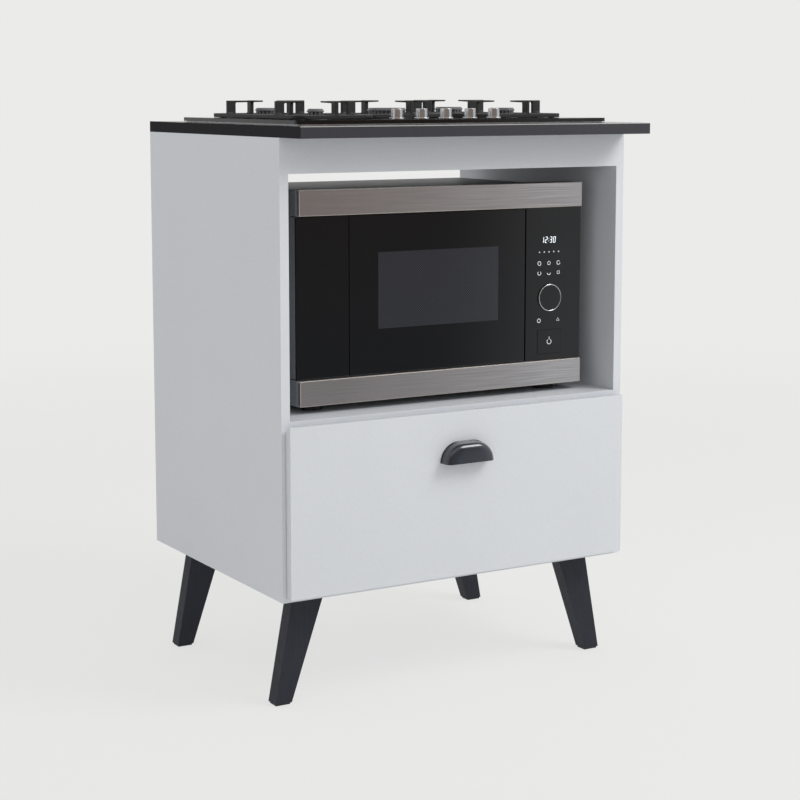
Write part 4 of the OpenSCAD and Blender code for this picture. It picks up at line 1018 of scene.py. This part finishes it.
    def loop(self, x: float, z: float, radius: float, mark: Mark, face_y: float) -> Shell:
        """A printed line of oblong section, carried round an arc or a closed polygon in the glass's plane.

        Args:
            x: the middle's place across.
            z: the middle's height.
            radius: the line's radius.
            mark: the number of sides, and where the line starts and ends.
            face_y: the front of the glass.

        Returns:
            The line.
        """
        closed = mark.end_deg - mark.start_deg >= 360
        angle = np.radians(np.linspace(mark.start_deg, mark.end_deg, mark.sides + 1))
        angle = angle[:-1] if closed else angle
        rim = radius + np.array([-1, 1, 1, -1]) * self.stroke / 2
        depth = face_y - np.array([0, 0, 1, 1]) * self.print_t
        across = x + np.cos(angle)[:, None] * rim
        upright = z + np.sin(angle)[:, None] * rim
        points = np.stack([across, np.broadcast_to(depth, across.shape), upright], -1)
        return grid_shell(points, wrap_rows=closed, wrap_columns=True, caps=not closed)

    def build_clock(self, face_y: float) -> None:
        """Makes the lit clock.

        Args:
            face_y: the front of the glass.
        """
        steps = [self.colon_step if figure == ":" else self.digit_step for figure in self.clock]
        places = self.column_x[1] - sum(steps) / 2 + np.cumsum([0] + steps[:-1])
        shells = [self.digit_bars(figure, x, face_y) for figure, x in zip(self.clock, places)]
        make_piece("oven_clock", shells, CLOCK_LIGHT, "cabinet")

    def build_marks(self, face_y: float) -> None:
        """Makes the row of dots and the plain marks that are printed on the panel.

        Args:
            face_y: the front of the glass.
        """
        across = np.linspace(self.column_x[0], self.column_x[2], self.dots)
        level = np.ones(self.dots)
        half = self.dot / 2
        lows = np.stack([across - half, level * (face_y - self.print_t), level * (self.dots_z - half)], -1)
        highs = np.stack([across + half, level * face_y, level * (self.dots_z + half)], -1)
        shells = [boxes(lows, highs)]
        shells += [self.loop(self.column_x[m.column], m.z, self.mark_r, m, face_y) for m in self.marks]
        # The printed marks carry a painted glow.
        make_piece("oven_panel_marks", shells, PRINT_PAINTED_GLOW, "cabinet")

    def build_dial(self, face_y: float) -> None:
        """Turns the dial: clip, shaft, skirt behind the glass and a flat face inside a bright rim.

        Args:
            face_y: the front of the glass.
        """
        low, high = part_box("oven_dial")
        centre = ((low.x + high.x) / 2, face_y, (low.z + high.z) / 2)
        radius = (high.x - low.x) / 2
        inside = radius - self.rim_w
        shaft, seat, shoulder = self.dial_shaft_r, -self.dial_seat, self.dial_shoulder
        clip_r, clip_t = self.dial_clip
        back = face_y - high.y
        face = self.dial_proud - self.dial_face_sunk
        cut_in, cut_down = self.dial_face_cut
        body = [
            (0, back), (clip_r, back), (clip_r, back + clip_t), (shaft, back + clip_t), (shaft, seat),
            (radius, seat), (radius, shoulder), (inside, shoulder),
            (inside, face - cut_down), (inside - cut_in, face), (0, face),
        ]
        shell = turned(np.array(body), centre, Spin.FRONT_TO_BACK, self.dial_steps)
        make_piece("oven_dial_turned", [shell], OVEN_GLASS, "oven_dial", ("oven_dial",))
        half = self.rim_w / 2
        rim = np.concatenate([
            [[radius, shoulder]],
            arc((radius - half, self.dial_proud - half), half, 0, 180, steps=12),
            [[inside, shoulder], [radius, shoulder]],
        ])
        ring = turned(rim, centre, Spin.FRONT_TO_BACK, self.dial_steps)
        make_piece("oven_dial_rim", [ring], DIAL_RIM, "oven_dial")

    def build_button_mark(self) -> None:
        """Prints an open ring and a bar on the opening button."""
        low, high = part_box("oven_button")
        x, z = (low.x + high.x) / 2, (low.z + high.z) / 2
        half = self.stroke / 2
        foot, top = self.button_bar
        bar = boxes((x - half, low.y - self.print_t, z + foot), (x + half, low.y, z + top))
        ring = self.loop(x, z, self.button_ring_r, self.button_ring, low.y)
        # The printed ring and bar carry a painted glow.
        make_piece("oven_button_mark", [ring, bar], PRINT_PAINTED_GLOW, "oven_button")

    def louvre_shell(self, x: float, z: float, back_y: float) -> Shell:
        """A pressed louvre: it swells out of the sheet like a lid and is cut off square along its lower edge.

        The swell is the louvre's depth times a power of sin(pi u) and a power of 1 - v, where u runs along
        the louvre and v up it. A first row in the sheet closes the lower edge, and a flat face in the sheet
        closes the back.

        Args:
            x: the louvre's middle.
            z: its lower edge.
            back_y: the back of the sheet.

        Returns:
            The surface.
        """
        length, height, depth = self.louvre
        columns, rows = self.louvre_grid
        along, up = self.louvre_powers
        u, v = np.meshgrid(np.linspace(0, 1, columns), np.concatenate([[0], np.linspace(0, 1, rows)]))
        swell = depth * np.sin(np.pi * u) ** along * (1 - v) ** up
        swell[0] = 0
        place = [x + length * (u - 0.5), back_y - self.louvre_sunk + swell, z + height * v]
        return grid_shell(np.stack(place, -1), floor=True)

    def build_louvres(self, back_y: float) -> None:
        """Presses the louvres into the casing's back.

        Args:
            back_y: the back of the sheet.
        """
        first, step, rows = self.louvre_z
        heights = first + step * np.arange(rows)
        louvres = [self.louvre_shell(x, z, back_y) for x in self.louvre_x for z in heights]
        make_piece("oven_casing_louvres", louvres, CASING_GREY, "cabinet")

    def build_screws(self, back_y: float) -> None:
        """Drives screws with a round recess along the edge of the casing's back.

        Args:
            back_y: the back of the sheet.
        """
        radius, tall, side = self.screw_r, self.screw_h, self.screw_side
        crown = tall - side
        mouth_r, bottom_r = self.recess_r
        bottom = self.recess_depth - tall
        head = np.concatenate([
            [[0, 0], [radius, 0], [radius, -side]],
            arc((radius - crown, -side), crown, 0, self.screw_crown_deg, steps=6),
            [[mouth_r, -tall], [bottom_r, bottom], [0, bottom]],
        ])
        low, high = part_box("oven_casing")
        left, right = low.x + self.screw_inset, high.x - self.screw_inset
        foot, top = low.z + self.screw_inset, high.z - self.screw_inset
        places = [(x, z) for x in (left, right) for z in (foot, (foot + top) / 2, top)]
        places += [((left + right) / 2, z) for z in (foot, top)]
        screws = [turned(head, (x, back_y, z), Spin.FRONT_TO_BACK, self.screw_steps) for x, z in places]
        make_piece("oven_casing_screws", screws, ZINC, "cabinet")

    def build(self) -> None:
        """Makes the controls and the back's details."""
        face_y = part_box("oven_control_panel")[0].y
        back_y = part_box("oven_base")[1].y + self.casing_wall
        self.build_clock(face_y)
        self.build_marks(face_y)
        self.build_dial(face_y)
        self.build_button_mark()
        self.build_louvres(back_y)
        self.build_screws(back_y)


@dataclass
class Studio:
    """The floor, the light and the camera."""

    camera_place: Triple = (-1.6279, -2.7670, 0.9731)
    camera_yaw_deg: float = -30.645
    camera_pitch_deg: float = 7.41
    lens_mm: float = 85.04
    sensor_mm: float = 36
    shift_y: float = -0.08
    backdrop: str = "#ebebea"
    flag: str = "#98897f"
    flag_foot: str = "#918e8d"
    flag_middle_deg: float = -20
    flag_half_deg: float = 54
    flag_soft: float = 0.03
    flag_top_z: Pair = (0.4, 0.6)
    flag_foot_z: Pair = (-0.14, -0.06)
    ambient: float = 0.66
    floor_glow: float = 0.8
    floor_r: float = 6.0
    floor_z: float = -0.2 * MM
    floor_steps: int = 96
    fade: Pair = (1.6, 4.5)
    gloss_fade: Pair = (0.9, 2.2)
    key_place: Triple = (1.7, -2.0, 2.8)
    key_aim: Triple = (0, 0, 0.5)
    key_size: float = 1.5
    key_watts: float = 51

    def camera(self) -> None:
        """Stands the camera where the photograph was taken from."""
        lens = bpy.data.cameras.new("camera")
        lens.lens = self.lens_mm
        lens.sensor_width = self.sensor_mm
        lens.shift_y = self.shift_y
        made = bpy.data.objects.new("camera", lens)
        made.location = self.camera_place
        made.rotation_euler = (math.radians(90 - self.camera_pitch_deg), 0, math.radians(self.camera_yaw_deg))
        bpy.context.scene.collection.objects.link(made)
        bpy.context.scene.camera = made

    def reflected(self, tree: Tree) -> Socket:
        """The backdrop as gloss shows it: pale, with a dim studio flag that stands round the front and left.

        The flag covers the directions within half its angle of its middle, up to a height. It is warm, and
        grey at its foot.

        Args:
            tree: the world's node tree.

        Returns:
            The colour socket.
        """
        middle = math.radians(self.flag_middle_deg)
        aim = (math.sin(middle), -math.cos(middle), 0)
        edge = math.cos(math.radians(self.flag_half_deg))
        way = add_node(tree, "TexCoord", out="Generated")
        toward = add_node(tree, "VectorMath", {0: way, 1: aim}, "Value", operation="DOT_PRODUCT")
        sides = {"Value": toward, "From Min": edge - self.flag_soft, "From Max": edge + self.flag_soft}
        across = add_node(tree, "MapRange", sides, interpolation_type="SMOOTHSTEP")
        rise = add_node(tree, "SeparateXYZ", {0: way}, "Z")
        low, high = self.flag_top_z
        top = {"Value": rise, "From Min": low, "From Max": high, "To Min": 1.0, "To Max": 0.0}
        below = add_node(tree, "MapRange", top, interpolation_type="SMOOTHSTEP")
        mask = add_node(tree, "Math", {0: across, 1: below}, operation="MULTIPLY")
        low, high = self.flag_foot_z
        warmth = add_node(tree, "MapRange", {"Value": rise, "From Min": low, "From Max": high})
        tones = {0: warmth, 6: linear(self.flag_foot), 7: linear(self.flag)}
        flag = add_node(tree, "Mix", tones, 2, data_type="RGBA")
        return add_node(tree, "Mix", {0: mask, 6: linear(self.backdrop), 7: flag}, 2, data_type="RGBA")

    def world(self) -> None:
        """A pale backdrop for what looks at it, and a plain level of light for the rest."""
        world = bpy.data.worlds.new("studio")
        bpy.context.scene.world = world
        world.use_nodes = True
        tree = world.node_tree
        tree.nodes.clear()
        path = add_node(tree, "LightPath").node.outputs
        straight = {0: path["Is Camera Ray"], 1: path["Is Transmission Ray"]}
        seen = add_node(tree, "Math", straight, operation="MAXIMUM")
        light = add_node(tree, "Background", {"Color": (1, 1, 1, 1), "Strength": self.ambient})
        shine = add_node(tree, "Background", {"Color": self.reflected(tree), "Strength": 1.0})
        shown = add_node(tree, "Background", {"Color": linear(self.backdrop), "Strength": 1.0})
        mixed = add_node(tree, "MixShader", {0: path["Is Glossy Ray"], 1: light, 2: shine})
        mixed = add_node(tree, "MixShader", {0: seen, 1: mixed, 2: shown})
        add_node(tree, "OutputWorld", {"Surface": mixed})

    def floor_material(self) -> bpy.types.Material:
        """A pale matt floor that fades into the backdrop; what looks at it sees it paler.

        Returns:
            The material.
        """
        material = bpy.data.materials.new("studio_floor")
        material.use_nodes = True
        tree = material.node_tree
        tree.nodes.clear()
        place = add_node(tree, "TexCoord", out="Object")
        away = add_node(tree, "VectorMath", {0: place}, "Value", operation="LENGTH")
        path = add_node(tree, "LightPath").node.outputs
        fades = []
        for start, end in (self.fade, self.gloss_fade):
            reach = {"Value": away, "From Min": start, "From Max": end}
            fades.append(add_node(tree, "MapRange", reach, interpolation_type="SMOOTHSTEP"))
        choice = {0: path["Is Glossy Ray"], 2: fades[0], 3: fades[1]}
        gone = add_node(tree, "Mix", choice, data_type="FLOAT")
        seen = path["Is Camera Ray"]
        for ray in ("Is Glossy Ray", "Is Transmission Ray"):
            seen = add_node(tree, "Math", {0: seen, 1: path[ray]}, operation="MAXIMUM")
        share = add_node(tree, "Math", {0: seen, 1: self.floor_glow}, operation="MULTIPLY")
        solid = add_node(tree, "BsdfDiffuse", {"Color": linear(self.backdrop)})
        pale = add_node(tree, "Emission", {"Color": linear(self.backdrop), "Strength": 1.0})
        solid = add_node(tree, "MixShader", {0: share, 1: solid, 2: pale})
        clear = add_node(tree, "BsdfTransparent")
        mixed = add_node(tree, "MixShader", {0: gone, 1: solid, 2: clear})
        add_node(tree, "OutputMaterial", {"Surface": mixed})
        return material

    def floor(self) -> None:
        """Lays a round floor just under the feet: one face with a rim of even steps."""
        angle = np.linspace(0, 2 * np.pi, self.floor_steps, endpoint=False)
        level = np.full(self.floor_steps, self.floor_z)
        rim = np.stack([self.floor_r * np.cos(angle), self.floor_r * np.sin(angle), level], -1)
        mesh = bpy.data.meshes.new("floor")
        mesh.from_pydata(rim.tolist(), [], [list(range(self.floor_steps))])
        mesh.materials.append(self.floor_material())
        made = bpy.data.objects.new("floor", mesh)
        bpy.context.scene.collection.objects.link(made)

    def key_lamp(self) -> None:
        """Hangs a square soft lamp that faces the object's middle."""
        light = bpy.data.lights.new("key", "AREA")
        light.size = self.key_size
        light.energy = self.key_watts
        made = bpy.data.objects.new("key", light)
        made.location = self.key_place
        way = Vector(self.key_aim) - Vector(self.key_place)
        made.rotation_euler = way.to_track_quat("-Z", "Y").to_euler()
        made.visible_camera = False
        bpy.context.scene.collection.objects.link(made)

    def build(self) -> None:
        """Sets up the studio."""
        bpy.context.scene.view_settings.view_transform = "Standard"
        self.camera()
        self.world()
        self.floor()
        self.key_lamp()


def main() -> None:
    """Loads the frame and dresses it."""
    logging.basicConfig(level=logging.INFO, format="%(name)s: %(message)s")
    for thing in list(bpy.data.objects):
        bpy.data.objects.remove(thing)
    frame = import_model()
    Studio().build()
    for part in (Carcass(frame), Drawer(frame), Hob(frame), Oven(frame)):
        part.dress()
        part.build()


if __name__ == "__main__":
    main()
